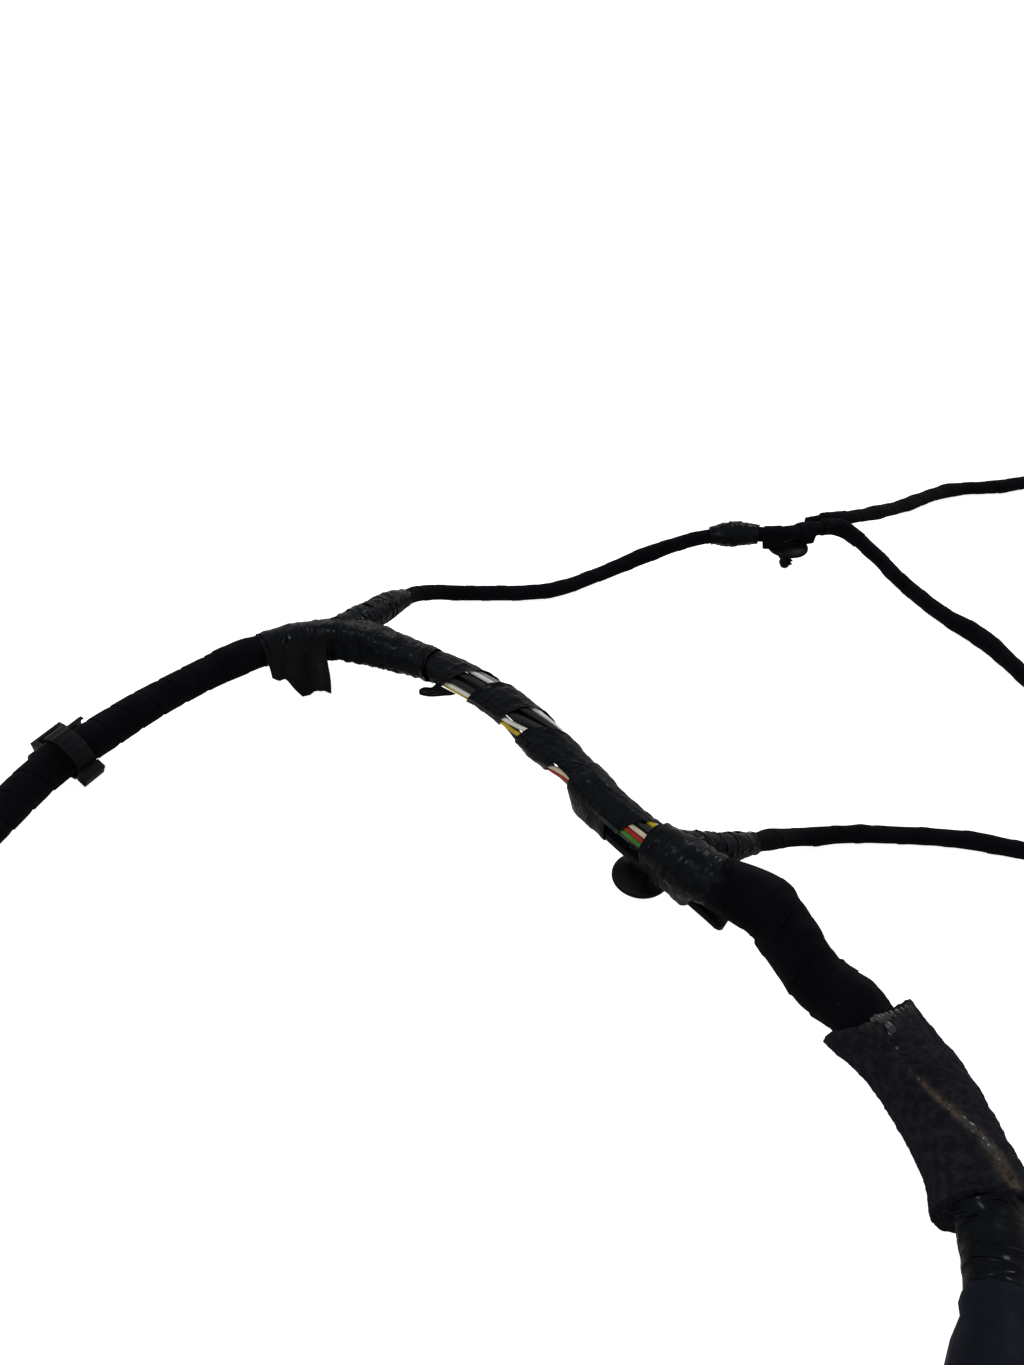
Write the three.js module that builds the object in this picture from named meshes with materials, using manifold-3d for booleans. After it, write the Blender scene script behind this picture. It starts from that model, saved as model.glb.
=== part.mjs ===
// Vehicle wiring harness: a taped trunk of wires between two plugs, with three taped branches.
// Millimetres, +Z up, laid out on a floor at z = 0. X runs along the trunk's chord.
import * as THREE from 'three';
import { mergeVertices } from 'three/addons/utils/BufferGeometryUtils.js';
import Module from 'manifold-3d';

const wasm = await Module();
wasm.setup();

// Clearance between pieces that touch, and how far blocks of one piece reach into each other
const gap = 0.3;
const overlap = 0.2;

// Routes, as points chosen along each centreline
const trunkRoute = [
  [-152, -123.5, 10.1], [-162, -98, 10.1], [-170.5, -67.5, 11], [-173.5, -39.5, 13], [-174.5, -15, 15],
  [-170, 6.5, 17], [-165, 28.5, 18.5], [-158.5, 51, 19], [-150, 72.5, 19.5], [-136.5, 89.5, 20],
  [-117.5, 99.5, 21], [-92, 100, 22], [-65.5, 97, 23.5], [-38, 88.5, 25], [-9, 74, 27],
  [19, 56.5, 28], [42, 45.5, 28], [62, 39, 28], [79.5, 37, 26], [98, 31.3, 20], [118, 20.3, 15.3],
  [135, 12, 13.2], [151.5, -4.8, 12.7], [162.3, -21.8, 12.8], [167, -38.5, 13.1], [170, -58.5, 13.2],
  [173.7, -81, 13.2], [175.1, -102.5, 13.2],
];
const branchARoute = [
  [-123, 96.5, 21], [-121, 110.5, 21], [-120, 125, 20], [-120, 142, 16], [-119, 161.5, 9],
  [-101, 179, 4.2], [-70, 198.5, 4.2], [-53.5, 221, 6], [-36, 243.5, 11], [-16.5, 261.5, 16],
  [1, 269.5, 19], [17.5, 275, 20.2], [31.5, 288.5, 20], [44, 301, 18], [64.5, 295, 11],
  [79.5, 285.5, 6], [107.5, 263.5, 4.5], [124.5, 253.5, 4.5], [143, 234.5, 4.5], [155, 221, 5.5],
  [167, 209.5, 6.8],
];
const branchA1Route = [
  [27.5, 297.5, 19.5], [41, 312.5, 17], [55, 337.5, 12], [64.5, 358.5, 8], [85, 399.5, 4.2],
  [109.5, 418, 4.2], [120.5, 429, 4.2], [133, 441.5, 5.5], [140.5, 449, 6.6],
];
const branchBRoute = [
  [49, 43.5, 28], [58, 50.5, 26], [64.5, 59, 22], [70.5, 69.5, 17], [76.5, 81.5, 11], [83.5, 91.5, 6],
  [99, 103.5, 4], [123.5, 115.5, 3.9], [140, 121.5, 3.9], [155.5, 124, 4.5], [169.5, 126, 5.8],
  [180, 128, 6.6],
];

// Straight stretches at the ends, where the plugs sit, and how finely the bends are followed
const trunkStraight = 36;
const branchStraight = 12;
const stationTurn = THREE.MathUtils.degToRad(17);
const stationStep = 32;
const windowStep = 15;

// Wires
const thinWire = 1.8;
const heavyWire = 2.8;
const powerCable = 5.2;
const wireSpacing = 0.1;
const thinWireSides = 5;
const heavyWireSides = 6;
const bundleStartAngle = THREE.MathUtils.degToRad(54);
const bundleTwist = THREE.MathUtils.degToRad(-135);
const twistFrom = 322;
const twistTo = 412;
const looseSwell = 0.9;
const swellRise = 24;

// Places along the trunk
const bandClipAt = 121;
const breakoutAAt = 238;
const wrapAStart = 209;
const wrapAEnd = 283;
const frontTapeAt = 392;
const frontTapeLength = 18;
const studClipAt = 417;
const wrapBStart = 425;
const clothRightStart = 448;
const foamStart = 507;
const foamLength = 55;
const endTapeLength = 21;

// Tapes and sleeves
const boreSides = 12;
const clothThickness = 0.6;
const vinylThickness = 0.4;
const wrapThickness = 0.55;
const spiralFrom = 262;
const spiralTo = 438;
const spiralPitch = 36;
const spiralWidth = 22;
const spiralMiddleAngle = THREE.MathUtils.degToRad(245);
const foamThickness = 2.9;

// Branch cords
const cordADiameter = 7.6;
const cordA1Diameter = 7.2;
const cordBDiameter = 6.8;
const cordSides = 8;
const cordStart = 11.6;

// Stud clips
const discDiameter = 20;
const discThickness = 1.4;
const studDiameter = 6;
const studFin = 1.4;
const trunkBar = { length: 60, width: 10, thickness: 3.2 };
const branchBar = { length: 26, width: 6, thickness: 2 };

// Band clip
const strapWidth = 8;
const strapThickness = 1.3;
const strapTeeth = 20;
const saddleLength = 24;
const saddleThickness = 1.8;

const radians = THREE.MathUtils.degToRad;

// A run follows a route: s along it, p to its left, q upwards. Between its stations it is straight,
// so pieces that are laid along it side by side keep their clearances.
function makeRun(points, straight, windows = []) {
  const curve = new THREE.CatmullRomCurve3(points.map((p) => new THREE.Vector3(...p)), false, 'centripetal');
  curve.arcLengthDivisions = 1200;
  const length = curve.getLength();
  const stations = [0, straight];
  let heading = curve.getTangentAt(straight / length);
  for (let s = straight + 1; s < length - straight - 3; s += 1) {
    const tangent = curve.getTangentAt(s / length);
    const step = windows.some(([from, to]) => s > from && s < to) ? windowStep : stationStep;
    if (s - stations.at(-1) >= step || tangent.angleTo(heading) >= stationTurn) {
      stations.push(s);
      heading = tangent;
    }
  }
  stations.push(length - straight, length);

  const frames = stations.map((s, i) => {
    const middle = curve.getPointAt(s / length);
    const tangent = curve.getTangentAt(s / length);
    if (i < 2) tangent.copy(curve.getPointAt(straight / length)).sub(curve.getPointAt(0)).normalize();
    if (i > stations.length - 3) {
      tangent.copy(curve.getPointAt(1)).sub(curve.getPointAt(1 - straight / length)).normalize();
    }
    const left = new THREE.Vector3(0, 0, 1).cross(tangent).normalize();
    const up = tangent.clone().cross(left);
    return { middle, left, up };
  });

  function place(s, p, q) {
    let i = stations.findIndex((x) => x > s) - 1;
    if (i < 0) i = s < length ? 0 : stations.length - 2;
    const t = (s - stations[i]) / (stations[i + 1] - stations[i]);
    const a = frames[i];
    const b = frames[i + 1];
    const mixed = a.middle.clone().lerp(b.middle, t);
    mixed.addScaledVector(a.left.clone().lerp(b.left, t), p);
    return mixed.addScaledVector(a.up.clone().lerp(b.up, t), q);
  }

  // Matrix of a rigid piece at s: its x across, y up and z along the run
  function matrixAt(s, level = false) {
    const tangent = place(s + 0.5, 0, 0).sub(place(s - 0.5, 0, 0));
    if (level) tangent.z = 0;
    tangent.normalize();
    const left = new THREE.Vector3(0, 0, 1).cross(tangent).normalize();
    const up = tangent.clone().cross(left);
    return new THREE.Matrix4().makeBasis(left, up, tangent).setPosition(place(s, 0, 0));
  }

  return { length, stations, place, matrixAt };
}

// Moves each vertex of a straight piece, whose z is the length along the run
function lay(run, geometry) {
  const position = geometry.attributes.position;
  for (let i = 0; i < position.count; i++) {
    const at = run.place(position.getZ(i), position.getX(i), position.getY(i));
    position.setXYZ(i, at.x, at.y, at.z);
  }
  return geometry;
}

// The run's stations between two ends, with the ends
function spans(run, from, to) {
  const least = 1;
  return [from, ...run.stations.filter((s) => s > from + least && s < to - least), to];
}

// A profile of [s, radius] points with the run's stations added
function throughStations(run, profile) {
  const points = [profile[0]];
  for (let i = 1; i < profile.length; i++) {
    const [s0, r0] = profile[i - 1];
    const [s1, r1] = profile[i];
    const inner = spans(run, Math.min(s0, s1), Math.max(s0, s1)).slice(1, -1);
    if (s1 < s0) inner.reverse();
    for (const s of inner) points.push([s, r0 + ((r1 - r0) * (s - s0)) / (s1 - s0)]);
    points.push([s1, r1]);
  }
  return points;
}

// Merges shared vertices and turns the faces outwards
function closed(geometry) {
  for (const name of Object.keys(geometry.attributes)) {
    if (name !== 'position') geometry.deleteAttribute(name);
  }
  const merged = mergeVertices(geometry, 1e-4);
  const position = merged.attributes.position;
  const index = merged.index.array;
  const kept = [];
  let volume = 0;
  const [a, b, c] = [new THREE.Vector3(), new THREE.Vector3(), new THREE.Vector3()];
  for (let i = 0; i < index.length; i += 3) {
    const [i0, i1, i2] = [index[i], index[i + 1], index[i + 2]];
    if (i0 === i1 || i1 === i2 || i2 === i0) continue;
    kept.push(i0, i1, i2);
    a.fromBufferAttribute(position, i0);
    b.fromBufferAttribute(position, i1);
    c.fromBufferAttribute(position, i2);
    volume += a.dot(b.cross(c)) / 6;
  }
  if (volume < 0) {
    for (let i = 0; i < kept.length; i += 3) [kept[i + 1], kept[i + 2]] = [kept[i + 2], kept[i + 1]];
  }
  merged.setIndex(kept);
  return merged;
}

function toSolid(geometry) {
  const shape = closed(geometry);
  return new wasm.Manifold(new wasm.Mesh({
    numProp: 3,
    vertProperties: Float32Array.from(shape.attributes.position.array),
    triVerts: Uint32Array.from(shape.index.array),
  }));
}

function toGeometry(solid) {
  const mesh = solid.getMesh();
  const geometry = new THREE.BufferGeometry();
  geometry.setAttribute('position', new THREE.BufferAttribute(Float32Array.from(mesh.vertProperties), 3));
  geometry.setIndex(Array.from(mesh.triVerts));
  return geometry;
}

function joined(...geometries) {
  return toGeometry(geometries.map(toSolid).reduce((sum, next) => sum.add(next)));
}

// Takes the tools out of the body, and the slivers that faces lying close together leave
function cut(body, ...tools) {
  const sliver = 0.5;
  const rest = tools.map(toSolid).reduce((solid, tool) => solid.subtract(tool), toSolid(body));
  const kept = rest.decompose().filter((piece) => piece.volume() > sliver);
  return toGeometry(kept.reduce((sum, next) => sum.add(next)));
}

// Straight building blocks
function box(x0, x1, y0, y1, z0, z1) {
  return new THREE.BoxGeometry(x1 - x0, y1 - y0, z1 - z0)
    .translate((x0 + x1) / 2, (y0 + y1) / 2, (z0 + z1) / 2);
}

function prism(shape, z0, z1, curveSegments = 1) {
  return new THREE.ExtrudeGeometry(shape, { depth: z1 - z0, bevelEnabled: false, curveSegments })
    .translate(0, 0, z0);
}

function revolved(profile, sides) {
  const points = profile.map(([z, r]) => new THREE.Vector2(r, z));
  return new THREE.LatheGeometry(points, sides).rotateX(Math.PI / 2);
}

function chamferedRectangle(width, height, corner) {
  const [x, y] = [width / 2, height / 2];
  const corners = [[x, y - corner], [x - corner, y], [corner - x, y], [-x, y - corner]];
  const opposite = corners.map(([u, v]) => [-u, -v]);
  return new THREE.Shape([...corners, ...opposite].map(([u, v]) => new THREE.Vector2(u, v)));
}

function circle(radius) {
  return new THREE.Shape().absarc(0, 0, radius, 0, Math.PI * 2);
}

function polygon(radius, sides) {
  const corners = Array.from({ length: sides }, (_, i) => (i / sides) * Math.PI * 2);
  return new THREE.Shape(corners.map((a) => new THREE.Vector2(radius * Math.cos(a), radius * Math.sin(a))));
}

// Pieces that follow a run
function sleeve(run, outside, inside, sides = boreSides) {
  const profile = [...throughStations(run, outside), ...throughStations(run, [...inside].reverse())];
  profile.push(profile[0]);
  return lay(run, revolved(profile, sides));
}

function rod(run, outside, sides = boreSides) {
  const profile = [[outside[0][0], 0], ...throughStations(run, outside), [outside.at(-1)[0], 0]];
  return lay(run, revolved(profile, sides));
}

// A section swept along a run, with a step at each station and an optional shift at each
function swept(run, shape, from, to, curveSegments, shift = () => [0, 0]) {
  const steps = spans(run, from, to);
  const geometry = new THREE.ExtrudeGeometry(shape, {
    depth: steps.length - 1, steps: steps.length - 1, bevelEnabled: false, curveSegments,
  });
  const position = geometry.attributes.position;
  for (let i = 0; i < position.count; i++) {
    const s = steps[Math.round(position.getZ(i))];
    const [x, y] = shift(s);
    position.setXYZ(i, position.getX(i) + x, position.getY(i) + y, s);
  }
  return lay(run, geometry);
}

const trunk = makeRun(trunkRoute, trunkStraight, [[wrapAEnd, wrapBStart]]);
const branchA = makeRun(branchARoute, branchStraight);
const branchA1 = makeRun(branchA1Route, branchStraight);
const branchB = makeRun(branchBRoute, branchStraight);

const harness = new THREE.Group();
harness.name = 'wiring_harness';

function add(name, geometry, { colour, roughness = 0.8, metalness = 0 }) {
  const shape = closed(geometry);
  shape.computeVertexNormals();
  const material = new THREE.MeshStandardMaterial({ color: colour, roughness, metalness, flatShading: true });
  const mesh = new THREE.Mesh(shape, material);
  mesh.name = name;
  harness.add(mesh);
}

// Finishes
const clothTape = { colour: 0x14151a, roughness: 0.95 };
const vinylTape = { colour: 0x1c1d20, roughness: 0.4 };
const fleeceTape = { colour: 0x2a2623, roughness: 0.95 };
const foam = { colour: 0x1b1c20, roughness: 1 };
const blackPlastic = { colour: 0x16171b, roughness: 0.5 };
const greyPlastic = { colour: 0x5b5f63, roughness: 0.6 };
const blackRubber = { colour: 0x1a1c20, roughness: 0.7 };
const insulation = (colour) => ({ colour, roughness: 0.45 });

// Wires of the ring, in order round the bundle, and the cable at its middle
const ends = { left: 10.3, right: trunk.length - 10.3, a: breakoutAAt };
const ring = [
  { size: thinWire, runs: [['wire_grey', 'left', 'right', 0x8c9094]] },
  { size: thinWire, runs: [['wire_white_upper', 'left', 'right', 0xe8e8e4]] },
  { size: heavyWire, runs: [['wire_black_heavy_1', 'left', 'right', 0x101114]] },
  { size: heavyWire, runs: [['wire_black_heavy_2', 'left', 'right', 0x101114]] },
  { size: thinWire, runs: [['wire_white', 'left', 'right', 0xf0f0ea]] },
  { size: thinWire, runs: [['wire_yellow', 'left', 'right', 0xc9b21e]] },
  { size: heavyWire, runs: [['wire_black_heavy_3', 'left', 'right', 0x101114]] },
  { size: thinWire, runs: [['wire_cream', 'left', 'right', 0xd9cdb4]] },
  { size: thinWire, runs: [['wire_red', 'left', 'right', 0xa5251f]] },
  { size: thinWire, runs: [['wire_green', 'left', 'right', 0x3f8f35]] },
  { size: thinWire, runs: [['wire_brown', 'left', 'right', 0x4a3a34]] },
  {
    size: thinWire,
    runs: [['wire_branch_a_feed', 'left', 'a', 0x1a1b1e], ['wire_teal', 'a', 'right', 0x6aa894]],
  },
  {
    size: thinWire,
    runs: [['wire_branch_a_return', 'left', 'a', 0x1a1b1e], ['wire_blue', 'a', 'right', 0x1c2c46]],
  },
  { size: thinWire, runs: [['wire_black', 'left', 'right', 0x17181a]] },
];

// Half of the angle that a wire takes up in a ring of this outer radius
const halfAngle = (size, radius) => Math.asin((size + wireSpacing) / 2 / (radius - size / 2));

// Outer radius at which the ring closes, or more where the middle cable needs it
function ringRadius() {
  let [low, high] = [heavyWire, 40];
  for (let i = 0; i < 50; i++) {
    const radius = (low + high) / 2;
    const total = ring.reduce((sum, { size }) => sum + 2 * halfAngle(size, radius), 0);
    if (total > 2 * Math.PI) low = radius;
    else high = radius;
  }
  const sizes = ring.map(({ size }) => size);
  return Math.max(high, powerCable / 2 + gap + Math.max(...sizes));
}

const bundleRadius = ringRadius();

function twistAt(s) {
  return bundleTwist * THREE.MathUtils.smoothstep(s, twistFrom, twistTo);
}

// The loose wires swell the open stretch. Between the run's stations the swell is linear, as the run is.
function swellAt(s) {
  const { lerp, smoothstep } = THREE.MathUtils;
  const swellEnd = frontTapeAt - frontTapeLength / 2 - 2;
  const rise = (x) => smoothstep(x, wrapAEnd, wrapAEnd + swellRise);
  const fall = (x) => smoothstep(x, swellEnd - swellRise, swellEnd);
  const swell = (x) => looseSwell * rise(x) * (1 - fall(x));
  const next = trunk.stations.findIndex((x) => x > s);
  const [s0, s1] = [trunk.stations[next - 1], trunk.stations[next]];
  return lerp(swell(s0), swell(s1), (s - s0) / (s1 - s0));
}

const taken = ring.map(({ size }) => 2 * halfAngle(size, bundleRadius));
const slack = (2 * Math.PI - taken.reduce((sum, angle) => sum + angle, 0)) / ring.length;
const wireEndClearance = 5;
let wireAngle = bundleStartAngle;
ring.forEach(({ size, runs }, i) => {
  wireAngle += (taken[i] + slack) / 2;
  const centre = bundleRadius - size / 2;
  const angle = wireAngle;
  const shift = (s) => {
    const turned = angle + twistAt(s);
    const out = centre + swellAt(s);
    return [out * Math.cos(turned), out * Math.sin(turned)];
  };
  for (const [name, from, to, colour] of runs) {
    const start = ends[from] + (from === 'a' ? wireEndClearance : 0);
    const stop = ends[to] - (to === 'a' ? wireEndClearance : 0);
    const section = polygon(size / 2, size === thinWire ? thinWireSides : heavyWireSides);
    add(name, swept(trunk, section, start, stop, 1, shift), insulation(colour));
  }
  wireAngle += (taken[i] + slack) / 2;
});
const cableSection = polygon(powerCable / 2, heavyWireSides);
add('power_cable', swept(trunk, cableSection, ends.left, ends.right, 1), insulation(0x17181a));

// Radii of what is wound over the bundle. The flats of each bore keep clear of the wires.
const flatFactor = Math.cos(Math.PI / boreSides);
const bore = (bundleRadius + gap) / flatFactor;
const spiralSegments = 12;
const spiralInner = (bundleRadius + gap) / Math.cos(Math.PI / spiralSegments);
const spiralOuter = spiralInner + vinylThickness;
const wideBore = (spiralOuter + gap) / flatFactor;
const wrapOuter = wideBore + wrapThickness;
const clothOuter = bore + clothThickness;

// Left cloth wrap, thick near the plug, thin past the band clip and swollen at its end
const neckOuter = bore + 1.5;
const neckEnd = trunkStraight - 1;
const neckOverlap = 8;
const neckBore = (neckOuter + gap) / flatFactor;
const clothLeftEnd = wrapAStart - gap;
add('cloth_wrap_left', sleeve(
  trunk,
  [
    [neckEnd - neckOverlap, neckBore + clothThickness], [neckEnd + 3, neckBore + clothThickness],
    [neckEnd + 12, clothOuter + 0.6], [bandClipAt + 16, clothOuter + 0.6], [bandClipAt + 44, clothOuter],
    [wrapAStart - 22, clothOuter], [wrapAStart - 7, clothOuter + 0.6], [clothLeftEnd, clothOuter + 0.25],
  ],
  [
    [neckEnd - neckOverlap, neckBore], [neckEnd + gap, neckBore], [neckEnd + gap + 2, bore],
    [clothLeftEnd, bore],
  ],
), clothTape);
const clothUnderBand = clothOuter + 0.6;

// Band clip: a crescent saddle with two tongues, a stepped mounting block and a toothed strap
const saddleInner = clothUnderBand + gap;
const strapOffset = (saddleThickness + gap) / 2;
const strapInner = clothUnderBand + gap + strapOffset;
const saddleSpread = radians(62);
const saddleOuter = strapInner - gap;
const saddle = new THREE.Shape();
saddle.absarc(strapOffset, 0, saddleOuter, -saddleSpread, saddleSpread, false);
saddle.absarc(0, 0, saddleInner, saddleSpread, -saddleSpread, true);
const saddleSolid = prism(saddle, -saddleLength / 2, saddleLength / 2, 4);
const strapOuter = strapInner + strapThickness;
const bridgeInner = strapOffset + strapOuter + gap;
const bridgeOuter = bridgeInner + 1.6;
const footLength = 2.6;
const footFrom = strapWidth / 2 + gap;
const blockHalf = 5;
const blockStep = 1.1;
const footTo = footFrom + footLength;
const feet = [[-footTo, -footFrom], [footFrom, footTo]].map(([from, to]) => box(
  strapOffset + saddleOuter * 0.8, bridgeOuter, -blockHalf, blockHalf, from, to,
));
const bridge = box(bridgeInner, bridgeOuter, -blockHalf, blockHalf, -footTo, footTo);
const stepHalf = blockHalf - 1.5;
const blockTop = box(bridgeOuter - overlap, bridgeOuter + blockStep, -stepHalf, stepHalf, -4.5, 4.5);
const bandClipMatrix = trunk.matrixAt(bandClipAt);
const bandBase = joined(saddleSolid, ...feet, bridge, blockTop);
add('band_clip_base', bandBase.applyMatrix4(bandClipMatrix), blackPlastic);

const strapShape = new THREE.Shape();
const toothDepth = 0.5;
const headAngle = radians(212);
const headHeight = 3.2;
for (let i = 0; i < strapTeeth * 2; i++) {
  const angle = (i / (strapTeeth * 2)) * Math.PI * 2;
  const radius = strapOuter - (i % 2) * toothDepth;
  const [x, y] = [strapOffset + radius * Math.cos(angle), radius * Math.sin(angle)];
  if (i === 0) strapShape.moveTo(x, y);
  else strapShape.lineTo(x, y);
}
strapShape.closePath();
const strapHole = circle(strapInner).getPoints(12).map((p) => new THREE.Vector2(p.x + strapOffset, p.y));
strapShape.holes.push(new THREE.Path(strapHole));
const strapRing = prism(strapShape, -strapWidth / 2, strapWidth / 2);
const headEnd = strapWidth / 2 + 0.6;
const strapHead = box(strapInner + 0.5, strapOuter + headHeight, -3.2, 3.2, -headEnd, headEnd)
  .rotateZ(headAngle).translate(strapOffset, 0, 0);
add('band_clip_strap', joined(strapRing, strapHead).applyMatrix4(bandClipMatrix), blackPlastic);

// Open spiral of vinyl tape: a flat strip wound round the bundle, its angle falling as it advances
const spiralTurns = (spiralTo - spiralFrom - spiralWidth) / spiralPitch;
const spiralSteps = Math.round(spiralTurns * spiralSegments);
const strip = new THREE.BoxGeometry(spiralSteps, 2, 1, spiralSteps, 2, 1);
const stripPosition = strip.attributes.position;
for (let i = 0; i < stripPosition.count; i++) {
  const turns = stripPosition.getX(i) / spiralSegments;
  const s = (spiralFrom + spiralTo) / 2 + turns * spiralPitch + (stripPosition.getY(i) * spiralWidth) / 2;
  const angle = spiralMiddleAngle - turns * 2 * Math.PI;
  const swell = swellAt(s) / Math.cos(Math.PI / spiralSegments);
  const radius = (stripPosition.getZ(i) < 0 ? spiralInner : spiralOuter) + swell;
  stripPosition.setXYZ(i, radius * Math.cos(angle), radius * Math.sin(angle), s);
}
add('spiral_tape', lay(trunk, strip), vinylTape);

// Breakout A: a wrap round the trunk with a leg that closes on the branch
const legWall = 1.3;
const legAEnd = 48;
const cordABore = (cordADiameter / 2 + gap) / Math.cos(Math.PI / cordSides);
const narrowEnd = 256;
add('breakout_a_wrap', cut(
  joined(
    rod(trunk, [
      [wrapAStart, bore + 0.9], [wrapAStart + 20, bore + 1.2], [breakoutAAt + 6, bore + 1.9],
      [narrowEnd, wrapOuter + 0.35], [wrapAEnd - 8, wrapOuter], [wrapAEnd, wrapOuter - 0.2],
    ], boreSides),
    rod(branchA, [
      [0, cordABore + legWall + 1.2], [22, cordABore + legWall + 1], [40, cordABore + legWall],
      [legAEnd, cordABore + legWall - 0.5],
    ], 10),
  ),
  rod(trunk, [
    [wrapAStart - 1, bore], [narrowEnd - 2, bore], [narrowEnd, wideBore], [wrapAEnd + 1, wideBore],
  ], boreSides),
  rod(branchA, [[0, cordABore], [legAEnd + 1, cordABore]], cordSides),
), vinylTape);

// A loose flag of fleece tape, hanging from the near side of the wrap to a pointed corner
const flagFrom = wrapAStart + 2;
const flagThickness = 0.7;
const flagStand = bore + 1.5 + gap;
const flagOutline = new THREE.Shape();
flagOutline.moveTo(flagFrom, 2.5);
flagOutline.lineTo(flagFrom + 27, 2.5);
flagOutline.lineTo(flagFrom + 26, -9);
flagOutline.lineTo(flagFrom + 29, -16.5);
flagOutline.lineTo(flagFrom + 22, -15);
flagOutline.lineTo(flagFrom + 12, -17.5);
flagOutline.lineTo(flagFrom + 5, -14);
flagOutline.lineTo(flagFrom + 1, -8);
const flag = new THREE.ExtrudeGeometry(flagOutline, { depth: flagThickness, bevelEnabled: false });
const flagPosition = flag.attributes.position;
for (let i = 0; i < flagPosition.count; i++) {
  const [s, q, t] = [flagPosition.getX(i), flagPosition.getY(i), flagPosition.getZ(i)];
  const lean = q < 0 ? -q * 0.12 : 0;
  flagPosition.setXYZ(i, -flagStand - lean - t, q, s);
}
add('tape_flag', lay(trunk, flag), fleeceTape);

// Stud clip: a bar under the bundle whose free end stands off, a neck, a dished disc and a finned stud
const barTop = wrapOuter + gap;
const barFreeLength = 9;
const trunkBarDroop = 3.2;
const trunkDiscDrop = 19.5;
const trunkTipDrop = 28;

function studClip(run, at, barFrom, bar, top, discDrop, tipDrop, droop = 0) {
  const endLength = 3;
  const endWidth = 0.6;
  const barEnd = barFrom + bar.length;
  const freeFrom = barEnd - barFreeLength;
  const steps = [barFrom, ...spans(run, barFrom + endLength, freeFrom), barEnd - endLength, barEnd];
  const level = new THREE.BoxGeometry(bar.width, bar.thickness, steps.length - 1, 1, 1, steps.length - 1);
  const position = level.attributes.position;
  for (let i = 0; i < position.count; i++) {
    const step = Math.round(position.getZ(i) + (steps.length - 1) / 2);
    const atEnd = step === 0 || step === steps.length - 1;
    const across = position.getX(i) * (atEnd ? endWidth : 1);
    const drop = droop * Math.max(0, (steps[step] - freeFrom) / barFreeLength);
    position.setXYZ(i, across, position.getY(i) - top - bar.thickness / 2 - drop, steps[step]);
  }
  lay(run, level);
  const disc = new THREE.LatheGeometry([
    [0, -discDrop + 0.8], [studDiameter * 0.6, -discDrop + 0.8], [discDiameter / 2 - 0.6, -discDrop - 1.6],
    [discDiameter / 2, -discDrop - 1.2], [discDiameter / 2 - 0.3, -discDrop - 1.2 + discThickness],
    [studDiameter * 0.7, -discDrop + 0.8 + discThickness], [0, -discDrop + 0.8 + discThickness],
  ].map(([r, y]) => new THREE.Vector2(r, y)), 14);
  const neck = box(-2.2, 2.2, -discDrop + 0.9, -top - bar.thickness / 2, -4, 4);
  const stud = new THREE.LatheGeometry([
    [0, -tipDrop], [studDiameter * 0.28, -tipDrop], [studDiameter / 2, -tipDrop + 2.4],
    [studDiameter / 2 - 0.4, -tipDrop + 4.2], [studDiameter / 2 - 0.4, -discDrop + 1.2], [0, -discDrop + 1.2],
  ].map(([r, y]) => new THREE.Vector2(r, y)), 10);
  const fins = [0, 1, 2].map((i) => {
    const y = -tipDrop + 3.2 + i * 2;
    return box(-studDiameter / 2 - studFin, studDiameter / 2 + studFin, y, y + 0.8, -1.5, 1.5);
  }).filter((fin, i) => -tipDrop + 4.4 + i * 2 < -discDrop - 1.6);
  const matrix = run.matrixAt(at, true);
  for (const piece of [disc, neck, stud, ...fins]) piece.applyMatrix4(matrix);
  return joined(level, neck, disc, stud, ...fins);
}

const trunkBarFrom = clothRightStart - gap - 0.5 - trunkBar.length;
add('trunk_stud_clip', studClip(
  trunk, studClipAt, trunkBarFrom, trunkBar, barTop, trunkDiscDrop, trunkTipDrop, trunkBarDroop,
), blackPlastic);

// Section of a tape drawn tight round a round bundle and a bar below it
function bandOutline(radius, halfWidth, drop) {
  const corner = Math.atan2(-drop, halfWidth);
  const tangentAt = corner + Math.acos(radius / Math.hypot(halfWidth, drop));
  const shape = new THREE.Shape();
  shape.absarc(0, 0, radius, tangentAt, Math.PI - tangentAt, false);
  shape.lineTo(-halfWidth, -drop);
  shape.lineTo(halfWidth, -drop);
  return shape;
}

function band(run, from, to, inner, bar, top, thickness) {
  const halfWidth = bar.width / 2 + gap;
  const drop = top + bar.thickness + gap;
  const outline = bandOutline(inner + thickness, halfWidth + thickness, drop + thickness);
  const outside = swept(run, outline, from, to, 4);
  const inside = swept(run, bandOutline(inner, halfWidth, drop), from - 1, to + 1, 4);
  return [outside, inside];
}

const frontTapeFrom = frontTapeAt - frontTapeLength / 2;
const [frontOutside, frontInside] = band(
  trunk, frontTapeFrom, frontTapeFrom + frontTapeLength, wideBore, trunkBar, barTop, wrapThickness,
);
add('clip_tape_front', cut(frontOutside, frontInside), vinylTape);

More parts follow.
